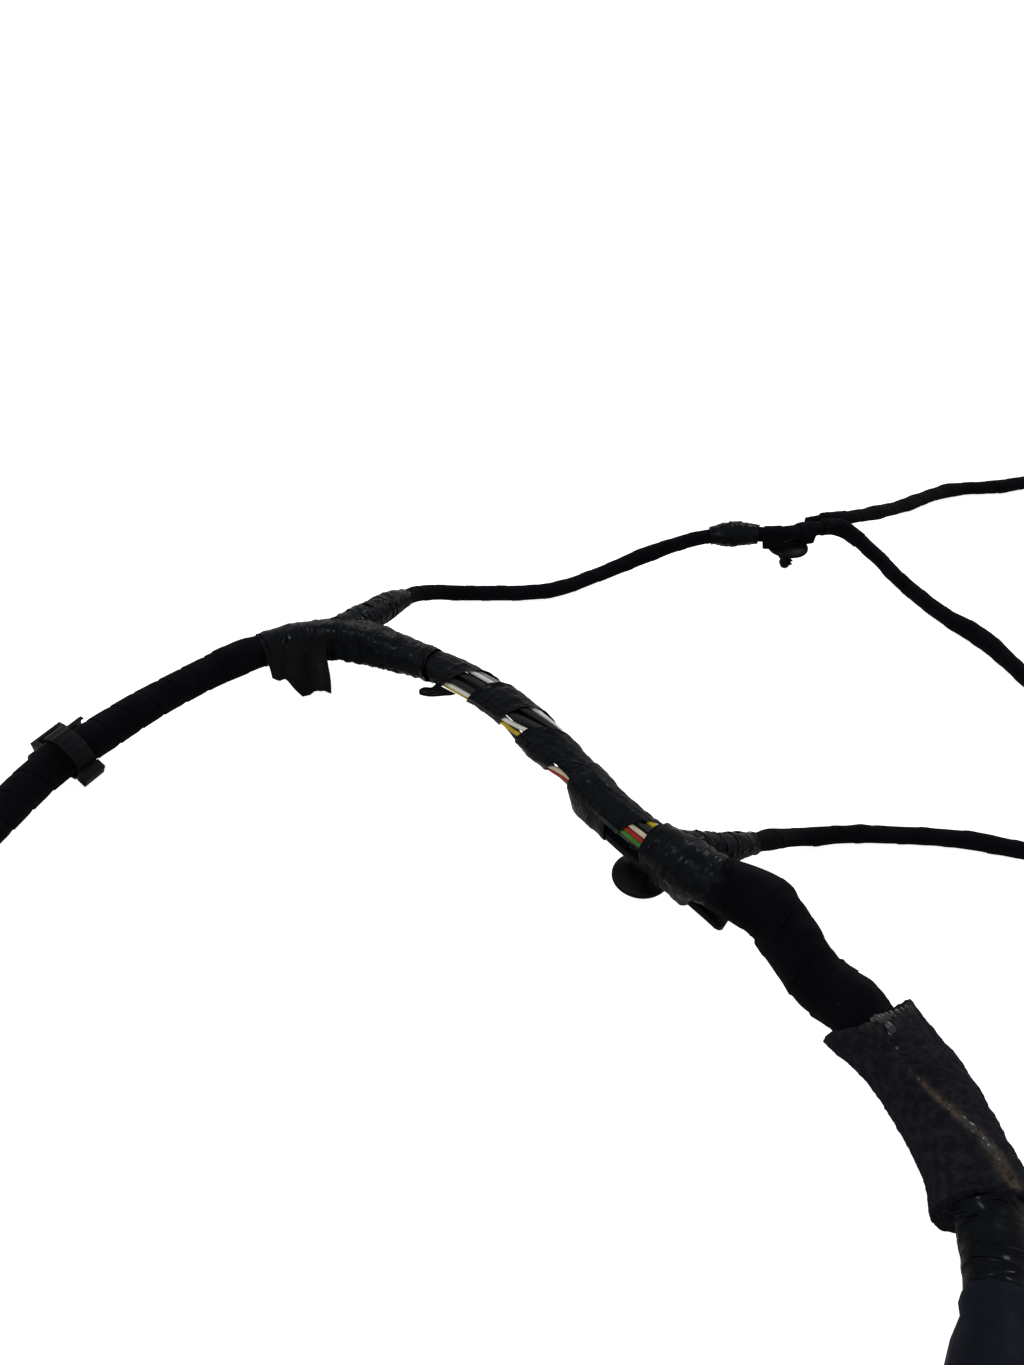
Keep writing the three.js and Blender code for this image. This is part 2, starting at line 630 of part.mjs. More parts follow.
// Breakout B: the wrap that also holds the bar's second half, and its leg
const legBEnd = 41;
const cordBBore = (cordBDiameter / 2 + gap) / Math.cos(Math.PI / cordSides);
const barHeldLength = 11;
const legReach = 16;
const wrapBEnd = clothRightStart - gap;
const [holdOutside, holdInside] = band(
  trunk, wrapBStart, wrapBStart + barHeldLength, wideBore, trunkBar, barTop, wrapThickness,
);
add('breakout_b_wrap', cut(
  joined(
    holdOutside,
    rod(trunk, [[wrapBStart, wrapOuter], [wrapBEnd, wrapOuter]], boreSides),
    rod(branchB, [
      [0, cordBBore + legWall + 1], [20, cordBBore + legWall + 0.8], [legBEnd, cordBBore + legWall - 0.5],
    ], 10),
  ),
  holdInside,
  rod(trunk, [[wrapBStart - legReach, wideBore], [wrapBEnd + legReach, wideBore]], boreSides),
  rod(branchB, [[0, cordBBore], [legBEnd + 1, cordBBore]], cordSides),
), vinylTape);

// Right cloth wrap, padded and lumpy, running on under the foam sleeve
const foamEnd = foamStart + foamLength;
const foamBase = clothOuter + 1.8;
add('cloth_wrap_right', sleeve(
  trunk,
  [
    [clothRightStart, clothOuter + 1], [clothRightStart + 6, clothOuter + 3],
    [clothRightStart + 15, clothOuter + 3.7], [clothRightStart + 29, clothOuter + 3.4],
    [clothRightStart + 40, clothOuter + 1.6], [clothRightStart + 50, clothOuter + 2.5],
    [foamStart - 5, clothOuter + 2.5], [foamStart - 1, foamBase], [foamEnd - 1, foamBase],
  ],
  [[clothRightStart, bore], [foamEnd - 1, bore]],
), clothTape);

// Foam sleeve with a flared top edge
const foamBore = (foamBase + gap) / flatFactor;
const foamOuter = foamBore + foamThickness;
add('foam_sleeve', sleeve(
  trunk,
  [
    [foamStart, foamOuter + 0.6], [foamStart + 10, foamOuter - 0.3],
    [foamStart + foamLength / 2, foamOuter - 0.2], [foamEnd - 6, foamOuter], [foamEnd, foamOuter - 0.5],
  ],
  [[foamStart, foamBore], [foamEnd, foamBore]],
), foam);

// End tape and the moulded boot behind the right plug
const endTapeStart = foamEnd + gap;
const endTapeEnd = endTapeStart + endTapeLength;
add('end_tape', sleeve(
  trunk,
  [
    [endTapeStart, clothOuter + 2], [endTapeStart + 8, clothOuter + 1.4], [endTapeEnd - 4, clothOuter + 1.8],
    [endTapeEnd, clothOuter + 1.5],
  ],
  [[endTapeStart, bore], [endTapeEnd, bore]],
), vinylTape);

// Plugs. Each has a housing with a rear flange, a row of blind contact pockets and a latch arm, a
// perforated front lock and a ribbed rubber seal. x is across, y up and z towards the mating face.
function plug({ outline, top, flange, core, length, latchWidth, pockets, pocketSize }) {
  const latchLift = 0.9;
  const latchThickness = 1.5;
  const armFrom = top + latchLift;
  const armTo = armFrom + latchThickness;
  const pocketDepth = 6;
  const lockThickness = 1.8;
  const sealLength = Math.min(5, length * 0.25);
  const pocketAt = (size, z0, z1) => pockets.map(([x, y]) => box(
    x - size / 2, x + size / 2, y - size / 2, y + size / 2, z0, z1,
  ));
  const body = joined(
    prism(outline(0), 0, flange),
    prism(outline(core), flange - overlap, length),
    box(-latchWidth / 2, latchWidth / 2, top - core - 1, armTo, 0, flange),
    box(-latchWidth / 2, latchWidth / 2, armFrom, armTo, flange - overlap, length - 2),
    box(-latchWidth / 2, latchWidth / 2, armTo - overlap, armTo + 1.2, length - 7, length - 4.5),
  );
  const housing = cut(body, ...pocketAt(pocketSize, length - pocketDepth, length + 1));
  const lock = cut(
    prism(outline(core + 0.6), length + gap, length + gap + lockThickness),
    ...pocketAt(pocketSize - 0.3, length, length + lockThickness + 1),
  );
  const sealFrom = flange + gap;
  const rib = sealLength / 3;
  const sealInner = prism(outline(core - gap), sealFrom - 1, sealFrom + sealLength + 1);
  const seal = cut(joined(
    prism(outline(core - gap - 0.8), sealFrom, sealFrom + sealLength),
    prism(outline(0.35), sealFrom, sealFrom + rib),
    prism(outline(0.35), sealFrom + 2 * rib, sealFrom + sealLength),
  ), sealInner);
  return { housing, lock, seal };
}

function grid(columns, rows, pitch) {
  const pockets = [];
  for (let i = 0; i < columns; i++) {
    for (let j = 0; j < rows; j++) {
      pockets.push([(i - (columns - 1) / 2) * pitch, (j - (rows - 1) / 2) * pitch]);
    }
  }
  return pockets;
}

function addPlug(prefix, parts, matrix) {
  add(`${prefix}_housing`, parts.housing.applyMatrix4(matrix), blackPlastic);
  add(`${prefix}_lock`, parts.lock.applyMatrix4(matrix), greyPlastic);
  add(`${prefix}_seal`, parts.seal.applyMatrix4(matrix), blackRubber);
}

// Left plug: rectangular, with a hollow cover whose neck the cloth tape grips
const leftWidth = 30;
const leftHeight = 20;
const coverWall = 1.6;
const plugBack = 10;
const leftPlug = plug({
  outline: (inset) => chamferedRectangle(leftWidth - 2 * inset, leftHeight - 2 * inset, 1.8),
  top: leftHeight / 2, flange: 4, core: 2, length: 26, latchWidth: 9,
  pockets: grid(7, 2, 3.6), pocketSize: 2,
});
const leftMatrix = trunk.matrixAt(plugBack).multiply(new THREE.Matrix4().makeRotationY(Math.PI));
addPlug('left_plug', leftPlug, leftMatrix);
const coverBack = plugBack + gap;
const coverRoof = coverBack + 12;
const cover = cut(
  joined(
    prism(chamferedRectangle(leftWidth, leftHeight, 1.8), coverBack, coverRoof),
    revolved([
      [coverRoof - 1, 0], [coverRoof - 1, neckOuter + 1.4], [coverRoof + 4, neckOuter], [neckEnd, neckOuter],
      [neckEnd, 0],
    ], boreSides),
  ),
  prism(
    chamferedRectangle(leftWidth - 2 * coverWall, leftHeight - 2 * coverWall, 1), coverBack - 1,
    coverRoof - coverWall,
  ),
  revolved([[coverBack, 0], [coverBack, bore], [neckEnd + 1, bore], [neckEnd + 1, 0]], boreSides),
);
add('left_plug_cover', lay(trunk, cover), blackPlastic);

// Right plug: round, behind a domed rubber boot
const rightRadius = 12.6;
const rightBack = trunk.length - plugBack;
const rightPlug = plug({
  outline: (inset) => polygon(rightRadius - inset, 12),
  top: rightRadius - 0.5, flange: 4, core: 2, length: 26, latchWidth: 8,
  pockets: [...grid(3, 3, 3.4), ...grid(5, 1, 3.4).filter(([x]) => Math.abs(x) > 4),
    ...grid(1, 5, 3.4).filter(([, y]) => Math.abs(y) > 4)], pocketSize: 2,
});
addPlug('right_plug', rightPlug, trunk.matrixAt(rightBack));
const bootStart = endTapeEnd + gap;
const bootEnd = rightBack - gap;
const bootWall = 1.6;
add('end_boot', sleeve(
  trunk,
  [
    [bootStart, clothOuter + 1.8], [bootStart + 3, clothOuter + 2.6], [bootStart + 6, clothOuter + 2.2],
    [bootStart + 12, rightRadius - 1.4], [bootStart + 20, rightRadius + 0.2],
    [bootEnd - 12, rightRadius + 0.4], [bootEnd, rightRadius],
  ],
  [
    [bootStart, bore], [bootStart + 8, bore], [bootStart + 20, rightRadius - bootWall],
    [bootEnd, rightRadius - bootWall],
  ],
  14,
), blackRubber);

// Branch cords
const cordAEnd = branchA.length;
const cordA1End = branchA1.length;
const cordBEnd = branchB.length;
add('branch_a', swept(branchA, circle(cordADiameter / 2), cordStart, cordAEnd, cordSides / 2), clothTape);
add('branch_a1', swept(branchA1, circle(cordA1Diameter / 2), 0, cordA1End, cordSides / 2), clothTape);
add('branch_b', swept(branchB, circle(cordBDiameter / 2), cordStart, cordBEnd, cordSides / 2), clothTape);

// Vinyl joint, stud clip and its tape, and the split wrap on branch A
const jointAt = 231;
const jointLength = 22;
const jointInner = cordABore;
add('branch_joint_wrap', sleeve(
  branchA,
  [
    [jointAt - jointLength / 2, jointInner + 0.6], [jointAt - 5, jointInner + 1.3],
    [jointAt + 4, jointInner + 1], [jointAt + jointLength / 2, jointInner + 0.5],
  ],
  [[jointAt - jointLength / 2, jointInner], [jointAt + jointLength / 2, jointInner]],
  12,
), vinylTape);

const branchClipAt = 259;
const branchBarTop = cordADiameter / 2 + gap + 0.2;
const branchBarFrom = branchClipAt - branchBar.length / 2;
add('branch_stud_clip', studClip(
  branchA, branchClipAt, branchBarFrom, branchBar, branchBarTop, 9.4, 19.8,
), blackPlastic);
const clipTapeLength = 6;
const branchWrapThickness = 0.45;
for (const [name, from] of [
  ['branch_clip_tape_1', branchBarFrom + 0.8],
  ['branch_clip_tape_2', branchBarFrom + branchBar.length - 0.8 - clipTapeLength],
]) {
  const [outside, inside] = band(
    branchA, from, from + clipTapeLength, cordABore, branchBar, branchBarTop, branchWrapThickness,
  );
  add(name, cut(outside, inside), vinylTape);
}

const splitAt = 288;
const splitLength = 22;
const cordA1Bore = (cordA1Diameter / 2 + gap) / Math.cos(Math.PI / cordSides);
add('split_wrap', cut(
  joined(
    rod(branchA, [[splitAt - splitLength / 2, cordABore + 0.6], [splitAt, cordABore + 0.9],
      [splitAt + splitLength / 2, cordABore + 0.5]], 10),
    rod(branchA1, [[-1, cordA1Bore + 0.8], [16, cordA1Bore + 0.5]], 10),
  ),
  rod(branchA, [[splitAt - splitLength, cordABore], [splitAt + splitLength, cordABore]], cordSides),
  rod(branchA1, [[0, cordA1Bore], [17, cordA1Bore]], cordSides),
), clothTape);

// Small plugs at the branch ends, each with a rubber grommet round the cord's end
function branchPlug(prefix, run, cordDiameter, columns, rows) {
  const pitch = 3.4;
  const width = columns * pitch + 4.6;
  const height = rows * pitch + 5;
  const parts = plug({
    outline: (inset) => chamferedRectangle(width - 2 * inset, height - 2 * inset, 1),
    top: height / 2, flange: 3, core: 1.5, length: 20, latchWidth: 5,
    pockets: grid(columns, rows, pitch), pocketSize: 2,
  });
  const grommetLength = 9;
  const cordEntry = 5;
  const matrix = run.matrixAt(run.length);
  const inside = (cordDiameter / 2 + gap) / Math.cos(Math.PI / cordSides);
  const rib = inside + 2;
  const grommetEnd = grommetLength - cordEntry;
  const grommet = cut(
    revolved([
      [-cordEntry, 0], [-cordEntry, inside + 0.8], [-cordEntry + 2, rib], [-cordEntry + 4, inside + 1.2],
      [-cordEntry + 6, rib], [grommetEnd, inside + 1], [grommetEnd, 0],
    ], 10),
    revolved([[-cordEntry - 1, 0], [-cordEntry - 1, inside], [gap, inside], [gap, 0]], cordSides),
  ).applyMatrix4(matrix);
  add(`${prefix}_grommet`, grommet, blackRubber);
  const plugOffset = new THREE.Matrix4().makeTranslation(0, 0, grommetEnd + gap);
  addPlug(prefix, parts, run.matrixAt(run.length).multiply(plugOffset));
}

branchPlug('branch_a_plug', branchA, cordADiameter, 3, 2);
branchPlug('branch_a1_plug', branchA1, cordA1Diameter, 2, 2);
branchPlug('branch_b_plug', branchB, cordBDiameter, 2, 1);

export default harness;
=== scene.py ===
"""Vehicle wiring harness: a taped trunk with open spiral, clips, foam sleeve, branches and plugs."""

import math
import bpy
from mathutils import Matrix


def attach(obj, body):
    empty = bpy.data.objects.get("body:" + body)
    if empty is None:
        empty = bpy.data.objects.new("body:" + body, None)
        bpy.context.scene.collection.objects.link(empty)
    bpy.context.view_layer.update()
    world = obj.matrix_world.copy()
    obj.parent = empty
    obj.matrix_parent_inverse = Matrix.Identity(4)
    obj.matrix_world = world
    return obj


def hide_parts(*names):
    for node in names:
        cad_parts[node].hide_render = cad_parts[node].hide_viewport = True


bl_info = {
    "name": "Wiring Harness",
    "version": (1, 0, 0),
    "blender": (4, 5, 0),
    "location": "View3D > Sidebar > Harness",
    "description": "Dresses the harness with wires, wound tapes, foam, clips and plugs",
    "category": "Add Mesh",
}

import bpy
import numpy as np
from bpy.props import FloatProperty, FloatVectorProperty, IntProperty, PointerProperty
from mathutils import Matrix, Vector

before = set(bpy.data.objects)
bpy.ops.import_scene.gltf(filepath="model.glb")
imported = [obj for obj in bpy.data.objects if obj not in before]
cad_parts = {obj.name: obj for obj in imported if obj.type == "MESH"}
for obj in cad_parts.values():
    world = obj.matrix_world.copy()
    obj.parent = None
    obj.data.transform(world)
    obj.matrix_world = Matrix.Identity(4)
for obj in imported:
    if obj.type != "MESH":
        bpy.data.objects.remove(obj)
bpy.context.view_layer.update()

# Lengths in this file are millimetres, and meshes are made in metres
MM = 0.001

# Routes of the trunk and the branches, as points chosen along each centreline
TRUNK_ROUTE = [
    (-152, -123.5, 10.1), (-162, -98, 10.1), (-170.5, -67.5, 11), (-173.5, -39.5, 13), (-174.5, -15, 15),
    (-170, 6.5, 17), (-165, 28.5, 18.5), (-158.5, 51, 19), (-150, 72.5, 19.5), (-136.5, 89.5, 20),
    (-117.5, 99.5, 21), (-92, 100, 22), (-65.5, 97, 23.5), (-38, 88.5, 25), (-9, 74, 27),
    (19, 56.5, 28), (42, 45.5, 28), (62, 39, 28), (79.5, 37, 26), (98, 31.3, 20), (118, 20.3, 15.3),
    (135, 12, 13.2), (151.5, -4.8, 12.7), (162.3, -21.8, 12.8), (167, -38.5, 13.1), (170, -58.5, 13.2),
    (173.7, -81, 13.2), (175.1, -102.5, 13.2),
]
BRANCH_A_ROUTE = [
    (-123, 96.5, 21), (-121, 110.5, 21), (-120, 125, 20), (-120, 142, 16), (-119, 161.5, 9),
    (-101, 179, 4.2), (-70, 198.5, 4.2), (-53.5, 221, 6), (-36, 243.5, 11), (-16.5, 261.5, 16),
    (1, 269.5, 19), (17.5, 275, 20.2), (31.5, 288.5, 20), (44, 301, 18), (64.5, 295, 11),
    (79.5, 285.5, 6), (107.5, 263.5, 4.5), (124.5, 253.5, 4.5), (143, 234.5, 4.5), (155, 221, 5.5),
    (167, 209.5, 6.8),
]
BRANCH_A1_ROUTE = [
    (27.5, 297.5, 19.5), (41, 312.5, 17), (55, 337.5, 12), (64.5, 358.5, 8), (85, 399.5, 4.2),
    (109.5, 418, 4.2), (120.5, 429, 4.2), (133, 441.5, 5.5), (140.5, 449, 6.6),
]
BRANCH_B_ROUTE = [
    (49, 43.5, 28), (58, 50.5, 26), (64.5, 59, 22), (70.5, 69.5, 17), (76.5, 81.5, 11), (83.5, 91.5, 6),
    (99, 103.5, 4), (123.5, 115.5, 3.9), (140, 121.5, 3.9), (155.5, 124, 4.5), (169.5, 126, 5.8),
    (180, 128, 6.6),
]

# Camera: where it stands in metres, which way it looks, and its lens and sensor
CAMERA_PLACE = (0.1125, -0.1845, 0.27794)
CAMERA_AIM = (-0.36995, 0.69577, -0.61566)
CAMERA_LENS = 27.03
CAMERA_SENSOR = 36

# Room between pieces that lie against each other
GAP = 0.3
# Where branch A leaves the trunk
BREAKOUT_A = 238.0
# The first wire of the ring lies here, and the ring turns so far through the open stretch
RING_START = math.radians(54)
TWIST = math.radians(-135)
# Stretches of the trunk under its tapes
CLOTH_LEFT = (27, 208.7)
WRAP_A = (208, 291)
SPIRAL = (262, 438)
FRONT_TAPE = (383, 403)
WRAP_B = (421, 453)
CLOTH_RIGHT = (446, 561)
END_TAPE = (560, 587)
# Where the open wires swell, where they settle again, and where the bundle turns
SWELLING = (283, 307)
SETTLING = (357, 381)
TURNING = (322, 412)
# Thickness of the narrow strips on the branches
STRIP = 0.15


def length_property(name, description, millimetres):
    return FloatProperty(name=name, description=description, default=millimetres * MM, unit="LENGTH")


class HarnessSizes(bpy.types.PropertyGroup):
    """Sizes of wires, tapes and moulded parts."""

    thin_wire: length_property("Thin wire", "Diameter over the insulation", 1.8)
    heavy_wire: length_property("Heavy wire", "Diameter of the three heavier wires", 2.8)
    power_cable: length_property("Power cable", "Diameter of the cable at the middle", 5.2)
    wire_spacing: length_property("Wire spacing", "Room between wires that lie side by side", 0.1)
    cloth_width: length_property("Cloth tape width", "Width of the woven tape", 19)
    cloth_thickness: length_property("Cloth tape thickness", "Thickness of the woven tape", 0.28)
    vinyl_width: length_property("Vinyl tape width", "Width of the glossy tape", 19)
    vinyl_thickness: length_property("Vinyl tape thickness", "Thickness of the glossy tape", 0.2)
    spiral_pitch: length_property("Spiral pitch", "Advance of the open spiral in one turn", 36)
    spiral_width: length_property("Spiral width", "Width of the open spiral along the bundle", 22)
    loose_swell: length_property("Swell", "How much the loose wires widen the open stretch", 0.9)
    foam_thickness: length_property("Foam thickness", "Wall of the foam sleeve", 2.9)
    cord_a: length_property("Branch A", "Diameter over the tape", 7.6)
    cord_a1: length_property("Branch A1", "Diameter over the tape", 7.2)
    cord_b: length_property("Branch B", "Diameter over the tape", 6.8)
    tape_steps: IntProperty(
        name="Tape steps", description="Steps of a tape in one turn", default=40, min=12, max=96)


def size_of(name):
    """A length from the sizes, in millimetres."""
    return getattr(bpy.context.scene.harness_sizes, name) / MM


def linear(hex_colour):
    """Linear RGB of an sRGB hex colour."""
    channels = [int(hex_colour[i:i + 2], 16) / 255 for i in (1, 3, 5)]
    return [c / 12.92 if c <= 0.04045 else ((c + 0.055) / 1.055) ** 2.4 for c in channels]


def colour_property(name, description, hex_colour):
    return FloatVectorProperty(
        name=name, description=description, default=linear(hex_colour), subtype="COLOR", min=0, max=1)


class HarnessColours(bpy.types.PropertyGroup):
    """Colours of tapes, plastics and wires."""

    cloth: colour_property("Cloth tape", "Woven black tape", "#08080c")
    vinyl: colour_property("Vinyl tape", "Glossy charcoal tape", "#060709")
    fleece: colour_property("Fleece tape", "Soft tape of the loose flag", "#141313")
    foam: colour_property("Foam", "Foam of the sleeve", "#131419")
    plastic: colour_property("Black plastic", "Clips and housings", "#07080b")
    lock: colour_property("Grey plastic", "Front locks of the plugs", "#5b5f63")
    rubber: colour_property("Rubber", "Boot, seals and grommets", "#10131b")
    stain: colour_property("Stain", "Brown residue on the foam", "#564c40")
    glue: colour_property("Glue", "Dried blobs of adhesive", "#121418")


COLOURS_OF_WIRES = {
    "wire_grey": "#8c9094", "wire_white_upper": "#e4e3de", "wire_black_heavy_1": "#0d0e10",
    "wire_black_heavy_2": "#0d0e10", "wire_white": "#eceae4", "wire_yellow": "#c7ad22",
    "wire_black_heavy_3": "#0d0e10", "wire_cream": "#d6c9b0", "wire_red": "#9f2a20",
    "wire_green": "#3b8a2e", "wire_brown": "#43352f", "wire_branch_a_feed": "#16171a",
    "wire_teal": "#5f9d88", "wire_branch_a_return": "#16171a", "wire_blue": "#1a2a45",
    "wire_black": "#131416", "power_cable": "#131416",
}


# Runs

def smooth_line(points):
    """Centripetal spline through the given points, sampled finely."""
    p = np.array(points, float)
    p = np.vstack([2 * p[0] - p[1], p, 2 * p[-1] - p[-2]])
    t = np.linspace(0, 1, 81)[:-1, None]
    spans = []
    for p0, p1, p2, p3 in zip(p[:-3], p[1:-2], p[2:-1], p[3:]):
        d0, d1, d2 = [math.sqrt(np.linalg.norm(b - a)) for a, b in ((p0, p1), (p1, p2), (p2, p3))]
        m1 = ((p1 - p0) / d0 - (p2 - p0) / (d0 + d1) + (p2 - p1) / d1) * d1
        m2 = ((p2 - p1) / d1 - (p3 - p1) / (d1 + d2) + (p3 - p2) / d2) * d1
        spans.append(p1 + m1 * t + (3 * p2 - 3 * p1 - 2 * m1 - m2) * t ** 2
                     + (2 * p1 - 2 * p2 + m1 + m2) * t ** 3)
    return np.vstack([*spans, p[-2][None]])


def unit(vectors):
    return vectors / np.linalg.norm(vectors, axis=-1, keepdims=True)


class Run:
    """A route with a frame along it: s along, p to the left, q upwards, in millimetres."""

    SAMPLING = 0.5
    BLUR = 7

    def __init__(self, points, straight):
        line = smooth_line(points)
        along = np.concatenate([[0], np.cumsum(np.linalg.norm(np.diff(line, axis=0), axis=1))])
        self.length = along[-1]
        self.s = np.append(np.arange(0, self.length, self.SAMPLING), self.length)
        centre = np.stack([np.interp(self.s, along, line[:, i]) for i in range(3)], 1)
        for near, end, corner in ((self.s < straight, 0, straight),
                                  (self.s > self.length - straight, self.length, self.length - straight)):
            a = np.array([np.interp(end, self.s, centre[:, i]) for i in range(3)])
            b = np.array([np.interp(corner, self.s, centre[:, i]) for i in range(3)])
            t = ((self.s[near] - end) / (corner - end))[:, None]
            centre[near] = a + (b - a) * t
        tangent = np.gradient(centre, self.s, axis=0)
        width = 2 * self.BLUR + 1
        blur = np.ones(width) / width
        padded = np.pad(tangent, ((self.BLUR, self.BLUR), (0, 0)), mode="edge")
        tangent = unit(np.stack([np.convolve(padded[:, i], blur, "valid") for i in range(3)], 1))
        left = unit(np.cross((0, 0, 1), tangent))
        self.table = np.hstack([centre, left, np.cross(tangent, left), tangent])

    def at(self, s):
        """Centre, left, up and forward at each s."""
        s = np.asarray(s, float)
        found = np.stack([np.interp(s, self.s, self.table[:, i]) for i in range(12)], -1)
        centre, left, up, forward = np.split(found, 4, axis=-1)
        beyond = s - np.clip(s, 0, self.length)
        return centre + forward * beyond[..., None], left, up, forward

    def place(self, s, p, q):
        """Points in metres."""
        centre, left, up, _ = self.at(s)
        return (centre + left * np.asarray(p)[..., None] + up * np.asarray(q)[..., None]) * MM

    def ring(self, s, radius, angle):
        return self.place(s, radius * np.cos(angle), radius * np.sin(angle))

    def matrix(self, s, level=False):
        """Where a rigid piece goes: its x left, y up and z along the run, in metres."""
        centre, left, up, forward = self.at(s)
        if level:
            forward = unit(forward * (1, 1, 0))
            left = unit(np.cross((0, 0, 1), forward))
            up = np.cross(forward, left)
        made = Matrix([[left[i], up[i], forward[i], centre[i] * MM] for i in range(3)])
        made.resize_4x4()
        return made


TRUNK = Run(TRUNK_ROUTE, 36)
BRANCH_A = Run(BRANCH_A_ROUTE, 12)
BRANCH_A1 = Run(BRANCH_A1_ROUTE, 12)
BRANCH_B = Run(BRANCH_B_ROUTE, 12)


# Unevenness

SCATTER = np.random.default_rng(11).random(65536) * 2 - 1


def noise(x, y, z, seed=0):
    """Smooth lattice noise from -1 to 1."""
    x, y, z = np.broadcast_arrays(x, y, z)
    corner = [np.floor(a).astype(np.int64) for a in (x, y, z)]
    share = [a - c for a, c in zip((x, y, z), corner)]
    share = [f * f * (3 - 2 * f) for f in share]
    total = 0
    for dx in (0, 1):
        for dy in (0, 1):
            for dz in (0, 1):
                weight = (share[0] if dx else 1 - share[0]) * (share[1] if dy else 1 - share[1])
                weight = weight * (share[2] if dz else 1 - share[2])
                key = (corner[0] + dx) * 73856093 ^ (corner[1] + dy) * 19349663 ^ (corner[2] + dz) * 83492791
                total = total + weight * SCATTER[(key ^ seed * 977) & 65535]
    return total


def skin(s, angle, grain, seed, radius=7.0, stretch=1.0):
    """Noise on a round surface, with lumps of the size grain, longer along the bundle by stretch."""
    return noise(np.cos(angle) * radius / grain, np.sin(angle) * radius / grain, s / grain / stretch, seed)


def profile(points, blur=4.0):
    """Radius along a run from [s, radius] pairs, with its corners rounded."""
    s, r = np.array(points, float).T
    fine = np.arange(s[0], s[-1] + 0.25, 0.25)
    half = int(blur / 0.25)
    padded = np.pad(np.interp(fine, s, r), half, mode="edge")
    soft = np.convolve(padded, np.ones(2 * half + 1) / (2 * half + 1), "valid")
    return lambda x: np.interp(x, fine, soft)


def hump(x, at, width):
    return np.exp(-((x - at) / width) ** 2)


def facing(angle, toward):
    """1 on the side towards an angle, and 0 from a quarter turn away."""
    return np.clip(np.cos(angle - toward), 0, 1)


def smooth(x, low, high):
    """A step from 0 at low to 1 at high."""
    t = np.clip((x - low) / (high - low), 0, 1)
    return t * t * (3 - 2 * t)


# Mesh helpers

def deselect():
    bpy.ops.object.select_all(action="DESELECT")


def activate(obj):
    deselect()
    obj.select_set(True)
    bpy.context.view_layer.objects.active = obj


def edit(obj, *steps):
    """Runs edit-mode steps on the whole of a piece."""
    activate(obj)
    bpy.ops.object.mode_set(mode="EDIT")
    bpy.ops.mesh.select_all(action="SELECT")
    for step in steps:
        step()
    bpy.ops.object.mode_set(mode="OBJECT")


def modify(obj, kind, **settings):
    activate(obj)
    bpy.ops.object.modifier_add(type=kind)
    modifier = obj.modifiers[-1]
    for name, value in settings.items():
        setattr(modifier, name, value)
    bpy.ops.object.modifier_apply(modifier=modifier.name)


def dress(obj, name, key, nodes=(), smooth_angle=None):
    """Names a finished piece, gives it its finish and lets it ride on the harness."""
    obj.name = obj.data.name = name
    obj.data.materials.clear()
    obj.data.materials.append(finish(key))
    activate(obj)
    if smooth_angle is None:
        bpy.ops.object.shade_smooth()
    else:
        bpy.ops.object.shade_smooth_by_angle(angle=smooth_angle)
    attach(obj, "root")
    if nodes:
        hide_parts(*nodes)


def set_points(obj, points):
    obj.data.vertices.foreach_set("co", np.asarray(points, np.float32).ravel())
    obj.data.update()


def get_points(obj):
    points = np.zeros(len(obj.data.vertices) * 3, np.float32)
    obj.data.vertices.foreach_get("co", points)
    return points.reshape(-1, 3).astype(float)


def set_uv(obj, values):
    """One UV for each vertex, in metres along the surface."""
    layer = obj.data.uv_layers.active or obj.data.uv_layers.new(name="UVMap")
    corners = np.zeros(len(obj.data.loops), np.int32)
    obj.data.loops.foreach_get("vertex_index", corners)
    layer.data.foreach_set("uv", np.asarray(values, np.float32)[corners].ravel())


def set_attribute(obj, name, values):
    layer = obj.data.attributes.new(name, "FLOAT", "POINT")
    layer.data.foreach_set("value", np.asarray(values, np.float32))


def flat_sheet(columns, rows):
    """A grid from 0 to 1 both ways, and the two coordinates of its vertices."""
    deselect()
    bpy.ops.mesh.primitive_grid_add(x_subdivisions=columns, y_subdivisions=rows, size=1)
    obj = bpy.context.object
    points = get_points(obj)
    return obj, points[:, 0] + 0.5, points[:, 1] + 0.5


def round_piece(columns, rows, shape, stain=None):
    """A sheet rolled up and closed along its seam. shape(u, angle) gives its points, stain(u, angle) its
    marks."""
    obj, u, v = flat_sheet(columns, rows)
    set_points(obj, shape(u, v * 2 * math.pi))
    set_uv(obj, np.stack([u, v], 1))
    if stain:
        set_attribute(obj, "stain", stain(u, v * 2 * math.pi))
    edit(obj, lambda: bpy.ops.mesh.remove_doubles(threshold=1e-7))
    return obj


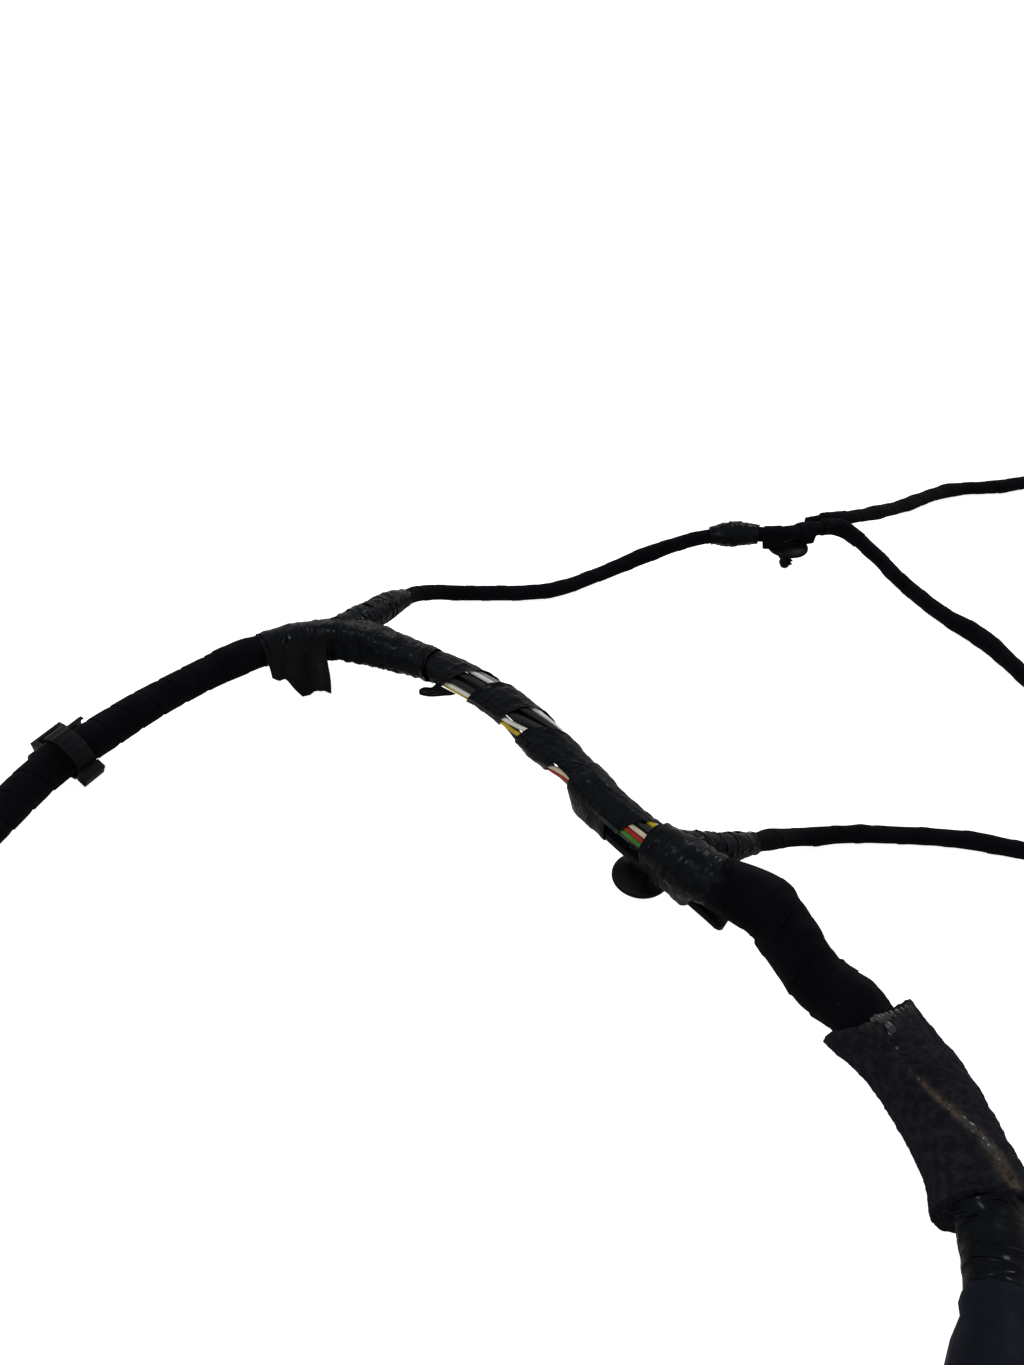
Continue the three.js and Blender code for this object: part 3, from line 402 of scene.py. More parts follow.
def wind(run, turns, centre, width, bed, thickness, seed, across, lift, wander=0.3, per_turn=None,
         crease=0.0):
    """A tape wound round a bundle. turns holds the first and last turn, and may fall. centre(turn) gives the
    tape's middle along the run, bed(s, angle) the surface below it, and each turn lies on the turns before.
    lift raises the tape's edges, wander makes them uneven, and creases run along the tape."""
    first, last = turns
    per_turn = per_turn or bpy.context.scene.harness_sizes.tape_steps
    obj, u, v = flat_sheet(max(8, round(abs(last - first) * per_turn)), across)
    way = 1 if last > first else -1
    turn = first + (last - first) * u
    side = (v if way > 0 else 1 - v) - 0.5
    angle = turn * 2 * math.pi
    edge = wander * noise(turn * 3.1, side.round(0) * 5 + 2, seed, seed)
    s = centre(turn) + side * (width + edge)
    layers = np.zeros_like(s)
    for k in range(1, 5):
        earlier = turn - way * k
        there = way * (earlier - first) >= 0
        apart = np.abs(s - centre(earlier))
        layers += np.where(there, np.clip((width / 2 - apart) / 0.8 + 0.5, 0, 1), 0)
    layers += np.abs(turn - first).clip(0, 1) * 0.25
    raised = lift * np.abs(side * 2) ** 8 * (0.5 + 0.5 * noise(turn * 5.3, side.round(0), 3, seed + 5))
    ridges = 1 - 2 * np.abs(noise(side * width / 2.4 + turn, turn * 3.2, seed * 1.3, seed + 9))
    radius = bed(s, angle) + thickness * (1 + layers) + raised + crease * ridges
    set_points(obj, run.ring(s, radius, angle))
    middle = float(np.mean(radius))
    set_uv(obj, np.stack([side * width, turn * 2 * math.pi * middle], 1) * MM)
    modify(obj, "SOLIDIFY", thickness=thickness * 0.9 * MM, offset=-1)
    return obj


def even(start, end, width, turns):
    """Middle of a tape that covers start to end: straight for the first and last turns, even between."""
    low, high = start + width / 2, end - width / 2
    first, last = min(turns), max(turns)

    def centre(turn):
        share = np.clip((turn - first - 1) / (last - first - 2), 0, 1)
        return low + (high - low) * share
    return centre


def join(*objs):
    deselect()
    for obj in objs:
        obj.select_set(True)
    bpy.context.view_layer.objects.active = objs[0]
    bpy.ops.object.join()
    return objs[0]


def tube(run, start, end, radius, sides, step=2.5):
    """A round bundle along a run, closed at its ends. radius(s, angle) gives its outside."""
    rows = round((end - start) / step)

    def shape(u, angle):
        s = start + (end - start) * u
        return run.ring(s, radius(s, angle), angle)
    return capped(round_piece(rows, sides, shape))


def capped(obj):
    """Closes the open ends of a rolled piece."""
    edit(obj, lambda: bpy.ops.mesh.select_all(action="DESELECT"),
         lambda: bpy.ops.mesh.select_non_manifold(), lambda: bpy.ops.mesh.fill_holes(sides=0),
         lambda: bpy.ops.mesh.select_all(action="SELECT"),
         lambda: bpy.ops.mesh.normals_make_consistent(inside=False))
    return obj


def moved(obj, matrix, size=(1, 1, 1), place=(0, 0, 0)):
    """Puts a piece made at the origin into a rigid frame. size scales it, place is in millimetres."""
    local = get_points(obj) * np.array(size) + np.array(place) * MM
    set_points(obj, local @ np.array(matrix.to_3x3()).T + np.array(matrix.translation))
    return obj


def lathed(points, matrix, sides):
    """A piece of revolution from (height, radius) pairs in millimetres, round the frame's y axis."""
    line = np.array(points, float)

    def shape(u, angle):
        height, radius = line[np.round(u * (len(line) - 1)).astype(int)].T
        return np.stack([radius * np.cos(angle), height, radius * np.sin(angle)], 1) * MM
    return moved(round_piece(len(line) - 1, sides, shape), matrix)


def brick(matrix, size, place, bevel):
    """A box with rounded edges, in millimetres in a rigid frame."""
    deselect()
    bpy.ops.mesh.primitive_cube_add(size=MM)
    obj = moved(bpy.context.object, matrix, size, place)
    modify(obj, "BEVEL", width=bevel * MM, segments=2)
    return obj


# Finishes

def set_inputs(tree, node, inputs):
    """Gives a node's sockets their values, or links them to other sockets."""
    for name, value in inputs.items():
        if isinstance(value, bpy.types.NodeSocket):
            tree.links.new(value, node.inputs[name])
        else:
            node.inputs[name].default_value = value


def add_node(tree, kind, inputs=None, **settings):
    """One node with its settings, values and links."""
    made = tree.nodes.new(kind)
    for name, value in settings.items():
        setattr(made, name, value)
    set_inputs(tree, made, inputs or {})
    return made


def new_material(name, inputs):
    """A material with its node tree and shader. inputs are the values that are the same all over."""
    material = bpy.data.materials.new(name)
    material.use_nodes = True
    tree = material.node_tree
    shader = tree.nodes["Principled BSDF"]
    set_inputs(tree, shader, inputs)
    return material, tree, shader


def grain(size):
    """Scale of a pattern whose grains are size millimetres wide."""
    return 1 / (size * MM)


def spots(tree, place, size, low, high, detail=3.0):
    """A mask from 0 to 1 with spots about size millimetres across."""
    fine = add_node(tree, "ShaderNodeTexNoise", {"Vector": place, "Scale": grain(size), "Detail": detail})
    return add_node(tree, "ShaderNodeMapRange",
                    {"Value": fine.outputs["Fac"], "From Min": low, "From Max": high}).outputs["Result"]


def layered(tree, colour, *layers):
    """A colour with other colours over it, each where its mask says."""
    for mask, over in layers:
        mix = add_node(tree, "ShaderNodeMix", {0: mask, 6: colour, 7: over}, data_type="RGBA")
        colour = mix.outputs[2]
    return colour


def toned(colour, times=1.0):
    """A colour with alpha, made lighter or darker."""
    return (*[min(1, c * times) for c in colour], 1)


def cloth_material(name, colour, sheen=0.02):
    """Woven polyester tape: matt, with a fine weave along and across the tape, lint and dust."""
    material, tree, shader = new_material(name, {
        "Roughness": 0.92, "Specular IOR Level": 0.03, "Sheen Weight": sheen, "Sheen Roughness": 0.4})
    coordinates = add_node(tree, "ShaderNodeTexCoord").outputs
    uv, place = coordinates["UV"], coordinates["Object"]
    # Threads stand 0.4 mm apart, a little wider than real ones so that they show. A wave repeats at each
    # 2 pi / 20 of its scaled coordinate.
    thread = 2 * math.pi / 20 * grain(0.4)
    warp, weft = [
        add_node(tree, "ShaderNodeTexWave", {"Vector": uv, "Scale": thread, "Distortion": 0.6},
                 bands_direction=way).outputs["Fac"]
        for way in "XY"]
    weave = add_node(tree, "ShaderNodeMath", {0: warp, 1: weft}, operation="ADD").outputs[0]
    # Fibres of 0.6 mm stand up between the threads
    fuzz = add_node(tree, "ShaderNodeTexNoise", {"Vector": place, "Scale": grain(0.625), "Detail": 3})
    height = add_node(tree, "ShaderNodeMath", {0: weave, 1: fuzz.outputs["Fac"]}, operation="ADD").outputs[0]
    bump = add_node(tree, "ShaderNodeBump", {"Strength": 0.6, "Distance": 0.12 * MM, "Height": height})
    worn = spots(tree, place, 11.1, 0.35, 0.7)
    dust = spots(tree, place, 1.43, 0.66, 0.74, 4)
    set_inputs(tree, shader, {
        "Base Color": layered(tree, toned(colour), (worn, toned(colour, 1.9)), (dust, toned(colour, 4.5))),
        "Normal": bump.outputs["Normal"]})
    return material


def vinyl_material(name, colour, shine=0.2):
    """Plasticised PVC tape: a deep black gloss with stretch creases along it, rubbed patches and dust."""
    material, tree, shader = new_material(name, {
        "Specular IOR Level": 0.055, "Specular Tint": (0.78, 0.88, 1, 1)})
    coordinates = add_node(tree, "ShaderNodeTexCoord").outputs
    place = coordinates["Object"]
    # Creases run aslant over the tape, about 5 mm apart and several times as long
    pulled = add_node(tree, "ShaderNodeMapping", {
        "Vector": coordinates["UV"], "Rotation": (0, 0, 0.7), "Scale": (1, 0.22, 1)}).outputs["Vector"]
    folds = add_node(tree, "ShaderNodeTexNoise", {
        "Vector": pulled, "Scale": grain(5), "Detail": 1, "Distortion": 0.5}).outputs["Fac"]
    off = add_node(tree, "ShaderNodeMath", {0: folds, 1: 0.5}, operation="SUBTRACT").outputs[0]
    off = add_node(tree, "ShaderNodeMath", {0: off}, operation="ABSOLUTE").outputs[0]
    line = add_node(tree, "ShaderNodeMapRange", {"Value": off, "From Max": 0.04, "To Min": 1, "To Max": 0})
    height = add_node(tree, "ShaderNodeMath", {0: line.outputs["Result"], 1: 0.35, 2: folds},
                      operation="MULTIPLY_ADD").outputs[0]
    creased = add_node(tree, "ShaderNodeBump", {"Strength": 0.9, "Distance": 0.7 * MM, "Height": height})
    # Calendered skin with pores of 0.7 mm, coarser than real ones
    pores = add_node(tree, "ShaderNodeTexNoise", {"Vector": place, "Scale": grain(0.667), "Detail": 2})
    bump = add_node(tree, "ShaderNodeBump", {
        "Strength": 0.2, "Distance": 0.05 * MM, "Height": pores.outputs["Fac"],
        "Normal": creased.outputs["Normal"]})
    rubbed = spots(tree, place, 7.7, 0.42, 0.66, 4)
    rough = add_node(tree, "ShaderNodeMapRange", {"Value": rubbed, "To Min": shine, "To Max": shine + 0.2})
    dust = spots(tree, place, 1.11, 0.7, 0.78, 4)
    set_inputs(tree, shader, {
        "Base Color": layered(tree, toned(colour), (rubbed, toned(colour, 1.8)), (dust, toned(colour, 6))),
        "Roughness": rough.outputs["Result"], "Normal": bump.outputs["Normal"]})
    return material


def foam_material(name, colour):
    """Open-cell polyurethane foam: torn grains, no gloss, with a brown and grey stain where it was glued."""
    material, tree, shader = new_material(name, {"Roughness": 0.95, "Specular IOR Level": 0.08})
    place = add_node(tree, "ShaderNodeTexCoord").outputs["Object"]
    # Cells of 0.9 mm, and torn flakes of 1.7 mm
    cells = add_node(tree, "ShaderNodeTexVoronoi", {
        "Vector": place, "Scale": grain(0.91)}).outputs["Distance"]
    torn = add_node(tree, "ShaderNodeTexNoise", {
        "Vector": place, "Scale": grain(1.667), "Detail": 5, "Roughness": 0.7}).outputs["Fac"]
    height = add_node(tree, "ShaderNodeMath", {0: cells, 1: torn}, operation="ADD").outputs[0]
    bump = add_node(tree, "ShaderNodeBump", {"Strength": 0.9, "Distance": 0.5 * MM, "Height": height})
    pale = spots(tree, place, 2.38, 0.42, 0.7, 5)
    stained = add_node(tree, "ShaderNodeAttribute", attribute_name="stain").outputs["Fac"]
    broken = spots(tree, place, 2, 0.3, 0.6, 5)
    mask = add_node(tree, "ShaderNodeMath", {0: stained, 1: broken}, operation="MULTIPLY").outputs[0]
    stain = bpy.context.scene.harness_colours.stain
    set_inputs(tree, shader, {
        "Base Color": layered(tree, toned(colour), (pale, toned(colour, 2.6)), (mask, toned(stain))),
        "Normal": bump.outputs["Normal"]})
    return material


def moulded_material(name, colour, roughness=0.36, specular=0.06):
    """Moulded polyamide or rubber: fine spark-eroded grain, rubbed lighter and rougher in places."""
    material, tree, shader = new_material(name, {"Specular IOR Level": specular})
    place = add_node(tree, "ShaderNodeTexCoord").outputs["Object"]
    # Grain of the mould, 0.3 mm wide
    eroded = add_node(tree, "ShaderNodeTexNoise", {"Vector": place, "Scale": grain(0.333), "Detail": 2})
    bump = add_node(tree, "ShaderNodeBump", {
        "Strength": 0.3, "Distance": 0.05 * MM, "Height": eroded.outputs["Fac"]})
    rubbed = spots(tree, place, 4.55, 0.42, 0.7, 4)
    rough = add_node(tree, "ShaderNodeMapRange",
                     {"Value": rubbed, "To Min": roughness, "To Max": roughness + 0.2})
    set_inputs(tree, shader, {
        "Base Color": layered(tree, toned(colour), (rubbed, toned(colour, 1.5))),
        "Roughness": rough.outputs["Result"], "Normal": bump.outputs["Normal"]})
    return material


def insulation_material(name, colour):
    """Extruded PVC wire insulation: smooth, slightly waxy, with grime rubbed into it."""
    material, tree, shader = new_material(name, {"Roughness": 0.38, "Specular IOR Level": 0.16})
    place = add_node(tree, "ShaderNodeTexCoord").outputs["Object"]
    grime = spots(tree, place, 3.85, 0.45, 0.72, 4)
    faded = add_node(tree, "ShaderNodeMath", {0: grime, 1: 0.45}, operation="MULTIPLY").outputs[0]
    # Ripples of the extruder, 2.5 mm apart
    ripple = add_node(tree, "ShaderNodeTexNoise", {"Vector": place, "Scale": grain(2.5), "Detail": 1})
    bump = add_node(tree, "ShaderNodeBump", {
        "Strength": 0.2, "Distance": 0.1 * MM, "Height": ripple.outputs["Fac"]})
    set_inputs(tree, shader, {
        "Base Color": layered(tree, toned(colour), (faded, toned(colour, 0.45))),
        "Normal": bump.outputs["Normal"]})
    return material


# How each finish is made: its material, its colour and what else differs
FINISHES = {
    "cloth": (cloth_material, "Woven cloth tape", "cloth"),
    "vinyl": (vinyl_material, "Vinyl tape", "vinyl"),
    "spiral": (vinyl_material, "Stretched vinyl tape", "vinyl", 0.24),
    "fleece": (cloth_material, "Fleece tape", "fleece", 0.03),
    "foam": (foam_material, "Open cell foam", "foam"),
    "plastic": (moulded_material, "Moulded black polyamide", "plastic"),
    "lock": (moulded_material, "Moulded grey polyester", "lock", 0.5, 0.4),
    "rubber": (moulded_material, "Black rubber", "rubber", 0.45, 0.03),
    "glue": (moulded_material, "Dried glue", "glue", 0.14, 0.3),
}
MADE = {}


def finish(key):
    """The material of a finish, or of insulation in a hex colour, made once."""
    if key not in MADE:
        if key in FINISHES:
            maker, name, colour, *values = FINISHES[key]
            MADE[key] = maker(name, getattr(bpy.context.scene.harness_colours, colour), *values)
        else:
            MADE[key] = insulation_material(f"Wire insulation {key}", linear(key))
    return MADE[key]


# Ring of wires

def ring_of_wires():
    """Names, sizes and angles of the wires in their ring, and the ring's outer radius."""
    thin, heavy, spacing = size_of("thin_wire"), size_of("heavy_wire"), size_of("wire_spacing")
    order = [
        ("wire_grey",), ("wire_white_upper",), ("wire_black_heavy_1",), ("wire_black_heavy_2",),
        ("wire_white",), ("wire_yellow",), ("wire_black_heavy_3",), ("wire_cream",), ("wire_red",),
        ("wire_green",), ("wire_brown",), ("wire_branch_a_feed", "wire_teal"),
        ("wire_branch_a_return", "wire_blue"), ("wire_black",),
    ]
    widths = [heavy if "heavy" in names[0] else thin for names in order]

    def taken(size, radius):
        """Angle that a wire takes up in a ring of this outer radius."""
        return 2 * math.asin((size + spacing) / 2 / (radius - size / 2))
    low, high = heavy, 40.0
    for _ in range(50):
        radius = (low + high) / 2
        if sum(taken(size, radius) for size in widths) > 2 * math.pi:
            low = radius
        else:
            high = radius
    radius = max(high, size_of("power_cable") / 2 + GAP + max(widths))
    slack = (2 * math.pi - sum(taken(size, radius) for size in widths)) / len(widths)
    angle = RING_START
    wires = []
    for names, size in zip(order, widths):
        angle += (taken(size, radius) + slack) / 2
        wires.append((names, size, angle))
        angle += (taken(size, radius) + slack) / 2
    return wires, radius


def twisted(s):
    """How far the bundle has turned at s."""
    return TWIST * smooth(s, *TURNING)


def swollen(s, angle):
    """How far the loose wires stand out from their ring. They sag to the near side before the clip."""
    swell = size_of("loose_swell") * smooth(s, *SWELLING) * (1 - smooth(s, *SETTLING))
    sag = hump(s, 358, 17) * facing(angle, 3.75) ** 2
    crest = hump(s, 338, 14) * facing(angle, 1.3) ** 2
    return swell + 2.4 * sag + 0.7 * crest


def wire_ridges(s, angle, depth):
    """Dips of a tape between the wires that it lies on."""
    return depth * (np.cos((angle - twisted(s)) * 14) - 1) / 2


class HARNESS_OT_camera(bpy.types.Operator):
    """Stands the camera where the photograph was taken"""

    bl_idname = "harness.camera"
    bl_label = "Camera"

    def execute(self, context):
        bpy.ops.object.camera_add(location=CAMERA_PLACE)
        camera = context.object
        camera.rotation_mode = "QUATERNION"
        camera.rotation_quaternion = Vector(CAMERA_AIM).to_track_quat("-Z", "Y")
        camera.data.lens = CAMERA_LENS
        camera.data.sensor_width = CAMERA_SENSOR
        camera.data.clip_start = 0.01
        context.scene.camera = camera
        return {"FINISHED"}


def radii():
    """Radii of the trunk, as the solids have them: round wires in tapes with twelve flats."""
    _, bundle = ring_of_wires()
    flat = math.cos(math.pi / 12)
    bore = (bundle + GAP) / flat
    wide = (bore + 0.4 + GAP) / flat
    return {"bundle": bundle, "bore": bore, "cloth": bore + 0.6, "wrap": wide + 0.55}


# Lumps under the branches' tape, where its ends lie double
def lump(at, long, high, toward=None):
    """A swelling at s, all round or towards one angle."""
    def height(s, angle):
        side = 1 if toward is None else facing(angle, toward)
        return high * hump(s, at, long) * side
    return height


# Branches: the run, where the tape starts, its size, the tape's advance in one turn, its seed and its lumps
BRANCHES = {
    "branch_a": (BRANCH_A, 11.6, "cord_a", 15.0, 21,
                 [lump(186, 9, 0.35), lump(372, 8, 0.9, 1.2), lump(384, 10, 0.5)]),
    "branch_a1": (BRANCH_A1, 0.0, "cord_a1", 14.0, 22,
                  [lump(0, 10, -1.5), lump(50, 7, 0.45), lump(84, 9, 0.4), lump(118, 8, 0.5),
                   lump(150, 12, 0.3)]),
    "branch_b": (BRANCH_B, 11.6, "cord_b", 16.0, 23,
                 [lump(48, 5, 0.5), lump(72, 4, 0.4, 4.6), lump(88, 3, 0.6, 1.4)]),
}
# Pieces of a small plug: the solid, the name of its finished piece, its finish and its slot
PLUG_PARTS = (
    ("grommet", "boot", "rubber", "rubber"),
    ("housing", "shell", "plastic", "black_plastic"),
    ("lock", "front_lock", "lock", "grey_plastic"),
    ("seal", "ribbed_seal", "rubber", "rubber"),
)


class HARNESS_OT_branches(bpy.types.Operator):
    """Three taped branches"""

    bl_idname = "harness.branches"
    bl_label = "Branches"

    def execute(self, context):
        thickness = 0.6 * size_of("cloth_thickness")
        width = size_of("cloth_width")
        for name, (run, start, size, pitch, seed, lumps) in BRANCHES.items():
            radius = size_of(size) / 2

            def lumpy(s, angle):
                return sum(height(s, angle) for height in lumps)

            def bed(s, angle):
                slow = 0.22 * skin(s, angle, 9, seed, radius, 2.4)
                fine = 0.1 * skin(s, angle, 3.2, seed + 1, radius, 1.8)
                return radius - 2.2 * thickness + slow + fine + lumpy(s, angle)

            def below(s, angle):
                return radius - 2.6 * thickness + np.minimum(lumpy(s, angle), 0)
            turns = (0.0, (run.length - start - width) / pitch + 2)
            middle = even(start, run.length, width, turns)
            cover = wind(run, turns, middle, width, bed, thickness, seed, 12, 0.06, 0.5, 30, 0.04)
            cord = join(tube(run, start, run.length, below, 14), cover)
            dress(cord, name + "_taped", "cloth", [name], 0.7)
        return {"FINISHED"}


def cord_path(run, start, end, step=6):
    return [tuple(p) for p in run.place(np.append(np.arange(start, end - step / 2, step), end), 0.0, 0.0)]


class HARNESS_OT_soft_goods(bpy.types.Operator):
    """Traces a path along each branch from its tape's start and reads its size; neither is used further"""

    bl_idname = "harness.soft_goods"
    bl_label = "Soft goods"

    def execute(self, context):
        for name, (run, start, size, *_) in BRANCHES.items():
            path = cord_path(run, start, run.length)
            getattr(context.scene.harness_sizes, size)
        return {"FINISHED"}


class HARNESS_OT_wires(bpy.types.Operator):
    """The ring of insulated wires and the cable at its middle"""

    bl_idname = "harness.wires"
    bl_label = "Wires"

    def execute(self, context):
        wires, radius = ring_of_wires()
        inset, past = 10.3, 5
        left, right = inset, TRUNK.length - inset
        rods = []
        for names, size, angle in wires:
            for i, name in enumerate(names):
                start = left if i == 0 else BREAKOUT_A + past
                end = right if len(names) == 1 or i == 1 else BREAKOUT_A - past
                rods.append((name, size, angle, radius - size / 2, start, end))
        rods.append(("power_cable", size_of("power_cable"), 0.0, 0.0, left, right))
        for index, (name, size, angle, out, start, end) in enumerate(rods):
            s = np.append(np.arange(start, end, 2.0), end)
            # In the open stretch the wires wander a little and lie loosely
            window = smooth(s, 285, 300) * (1 - smooth(s, 425, 435))
            turned = angle + twisted(s) + 0.035 * window * noise(s / 17, index * 3.7, 0.5, 3)
            reach = out - 0.12 * window * (0.5 + 0.5 * noise(s / 11, index * 2.3, 7.5, 4))
            if out:
                reach = reach + swollen(s, turned)
            points = TRUNK.ring(s, reach, turned)
            curve = bpy.data.curves.new(name, "CURVE")
            curve.dimensions = "3D"
            curve.bevel_depth = size / 2 * MM
            curve.bevel_resolution = 2
            curve.use_fill_caps = True
            spline = curve.splines.new("POLY")
            spline.points.add(len(points) - 1)
            spline.points.foreach_set("co", np.hstack([points, np.ones((len(points), 1))]).ravel())
            obj = bpy.data.objects.new(name, curve)
            context.collection.objects.link(obj)
            activate(obj)
            bpy.ops.object.convert(target="MESH")
            colour = COLOURS_OF_WIRES[name]
            dress(context.object, name + "_insulation", colour, [name])
        return {"FINISHED"}


class HARNESS_OT_cloth_wraps(bpy.types.Operator):
    """Cloth tape on both ends of the trunk, with its laps, lumps and padded stretch"""

    bl_idname = "harness.cloth_wraps"
    bl_label = "Cloth wraps"

    def execute(self, context):
        c = radii()["cloth"]
        thickness, width = size_of("cloth_thickness"), size_of("cloth_width")

        def wrap(name, node, points, ends, pitch, seed, lumps, bulge):
            start, end = ends
            line = profile(points)

            def bed(s, angle):
                base = line(s) - 2.4 * thickness + lumps * skin(s, angle, 13, seed, 7, 1.8)
                base = base + 0.12 * skin(s, angle, 3.5, seed + 1, 7, 1.5) + wire_ridges(s, angle, 0.1)
                return base + bulge(s, angle)
            turns = (0.0, (end - start - width) / pitch + 2)
            cover = wind(TRUNK, turns, even(start, end, width, turns), width, bed, thickness, seed, 16, 0.16)
            dress(cover, name, "cloth", [node], 0.7)

        wrap("cloth_tape_left", "cloth_wrap_left", [
            (27, 9.3), (38, 9.2), (47, c + 0.6), (137, c + 0.6), (165, c - 0.1), (187, c - 0.1),
            (202, c + 0.6), (209, c + 0.2),
        ], CLOTH_LEFT, 10.5, 31, 0.25, lambda s, angle: 0)

        def padding(s, angle):
            far = hump(s, 463, 8) * 1.7 * np.cos(angle - 0.6)
            near = hump(s, 482, 9) * 1.2 * np.cos(angle - 3.4)
            last = hump(s, 499, 7) * 1.4 * np.cos(angle - 0.9)
            low = hump(s, 491, 9.5) * 3.1 * facing(angle, 3.9)
            laps = 1.0 * np.abs(skin(s + 6 * angle, angle, 9, 45, 9, 0.6))
            return far + near + last + low + laps + 0.35 * skin(s, angle, 8, 44, 9)
        wrap("cloth_tape_right", "cloth_wrap_right", [
            (446, c + 2.0), (454, c + 2.7), (463, c + 3.1), (476, c + 2.9), (487, c + 1.3), (497, c + 2.1),
            (504, c + 2.0), (508, c + 1.4), (561, c + 1.4),
        ], CLOTH_RIGHT, 13.5, 37, 0.3, padding)
        return {"FINISHED"}


# How far the spiral lies from an even pitch: [s, shift]
SPIRAL_SHIFTS = [(280, 6), (300, 8.5), (335, 6), (361, 4.5), (378, 12), (405, 4), (425, 0)]


class HARNESS_OT_spiral_tape(bpy.types.Operator):
    """The open spiral of stretched tape over the wires"""

    bl_idname = "harness.spiral_tape"
    bl_label = "Spiral tape"

    def execute(self, context):
        bundle = radii()["bundle"]
        thickness, pitch, width = size_of("vinyl_thickness"), size_of("spiral_pitch"), size_of("spiral_width")
        (start, end), middle_turn = SPIRAL, 245 / 360
        half = (end - start - width) / pitch / 2

        def centre(turn):
            s = (start + end) / 2 + (middle_turn - turn) * pitch + 1.2 * noise(turn * 1.7, 0.5, 2.5, 8)
            return s + np.interp(s, *np.array(SPIRAL_SHIFTS, float).T)

        def bed(s, angle):
            pulled = 0.22 * np.abs(skin(s, angle, 5, 51, 6.5, 0.6)) - 0.05
            return bundle + swollen(s, angle) + 0.12 + wire_ridges(s, angle, 0.26) + pulled
        tape = wind(TRUNK, (middle_turn + half, middle_turn - half), centre, width, bed, thickness, 52, 26,
                    0.45, 1.6, 64, 0.22)

        # A short second strip lies over the top of the third opening
        strip = wind(TRUNK, (0.44, -0.2), lambda turn: 381 + (135 / 360 - turn) * 20, 15,
                     lambda s, angle: bed(s, angle) + 0.25, thickness, 53, 18, 0.5, 0.9, 64, 0.2)

        # Torn tail of the tape, pulled off on the near side
        tail, u, v = flat_sheet(18, 10)
        base = 295 + 12 * v
        s = base + (288 + 1.5 * v - base) * u
        out = bundle + 0.9 + (4.4 + 2.6 * v) * u ** 0.8 + 0.6 * np.sin(7 * u + 3 * v) * u
        angle = math.radians(218) + 0.12 * np.sin(5 * u) + 0.2 * u
        set_points(tail, np.maximum(TRUNK.ring(s, out, angle), (-1, -1, 0.5 * MM)))
        set_uv(tail, np.stack([(v - 0.5) * 11, u * 12], 1) * MM)
        modify(tail, "SOLIDIFY", thickness=0.9 * thickness * MM, offset=0)
        dress(join(tape, strip, tail), "stretched_spiral_tape", "spiral", ["spiral_tape"], 0.7)
        return {"FINISHED"}


def vinyl_wrap(run, points, pitch, seed, wrinkle, crease, ends=None, width=None, form=None):
    """Glossy tape wound over a run, creased where it was stretched round a change of form. points holds
    [s, radius] pairs, and the tape covers them from end to end, or covers ends."""
    thickness = size_of("vinyl_thickness")
    width = width or size_of("vinyl_width")
    start, end = ends or (points[0][0], points[-1][0])
    line = profile(points, 2)

    def bed(s, angle):
        base = line(s)
        if form:
            base = form(s, angle, base)
        folds = 1 - 2 * np.abs(skin(s + 2.5 * angle, angle, 5, seed, 7, 0.7))
        return base - 2 * thickness + wrinkle * (0.6 * folds + 0.3 * skin(s, angle, 2.2, seed + 1, 7, 0.7))
    turns = (0.0, (end - start - width) / pitch + 2)
    return wind(run, turns, even(start, end, width, turns), width, bed, thickness, seed, 24, 0.2, 1.6, 64,
                crease)


def narrow_strip(run, turns, start, end, width, bed, seed, across, lift):
    """A strip of cloth tape wound round a branch."""
    turns = (0.0, turns)
    return wind(run, turns, even(start, end, width, turns), width, bed, STRIP, seed, across, lift)


def held_radius(angle, radius, half, drop):
    """How far a tape stands from the bundle's middle, drawn tight round the bundle and a bar below it."""
    normals = np.linspace(0, 2 * math.pi, 96, endpoint=False)
    angle, radius, half, drop = [a[..., None] for a in np.broadcast_arrays(angle, radius, half, drop)]
    reach = np.maximum(radius, half * np.abs(np.cos(normals)) - drop * np.sin(normals))
    toward = np.cos(angle - normals)
    return np.min(np.where(toward > 0.2, reach / np.maximum(toward, 0.2), np.inf), axis=-1)


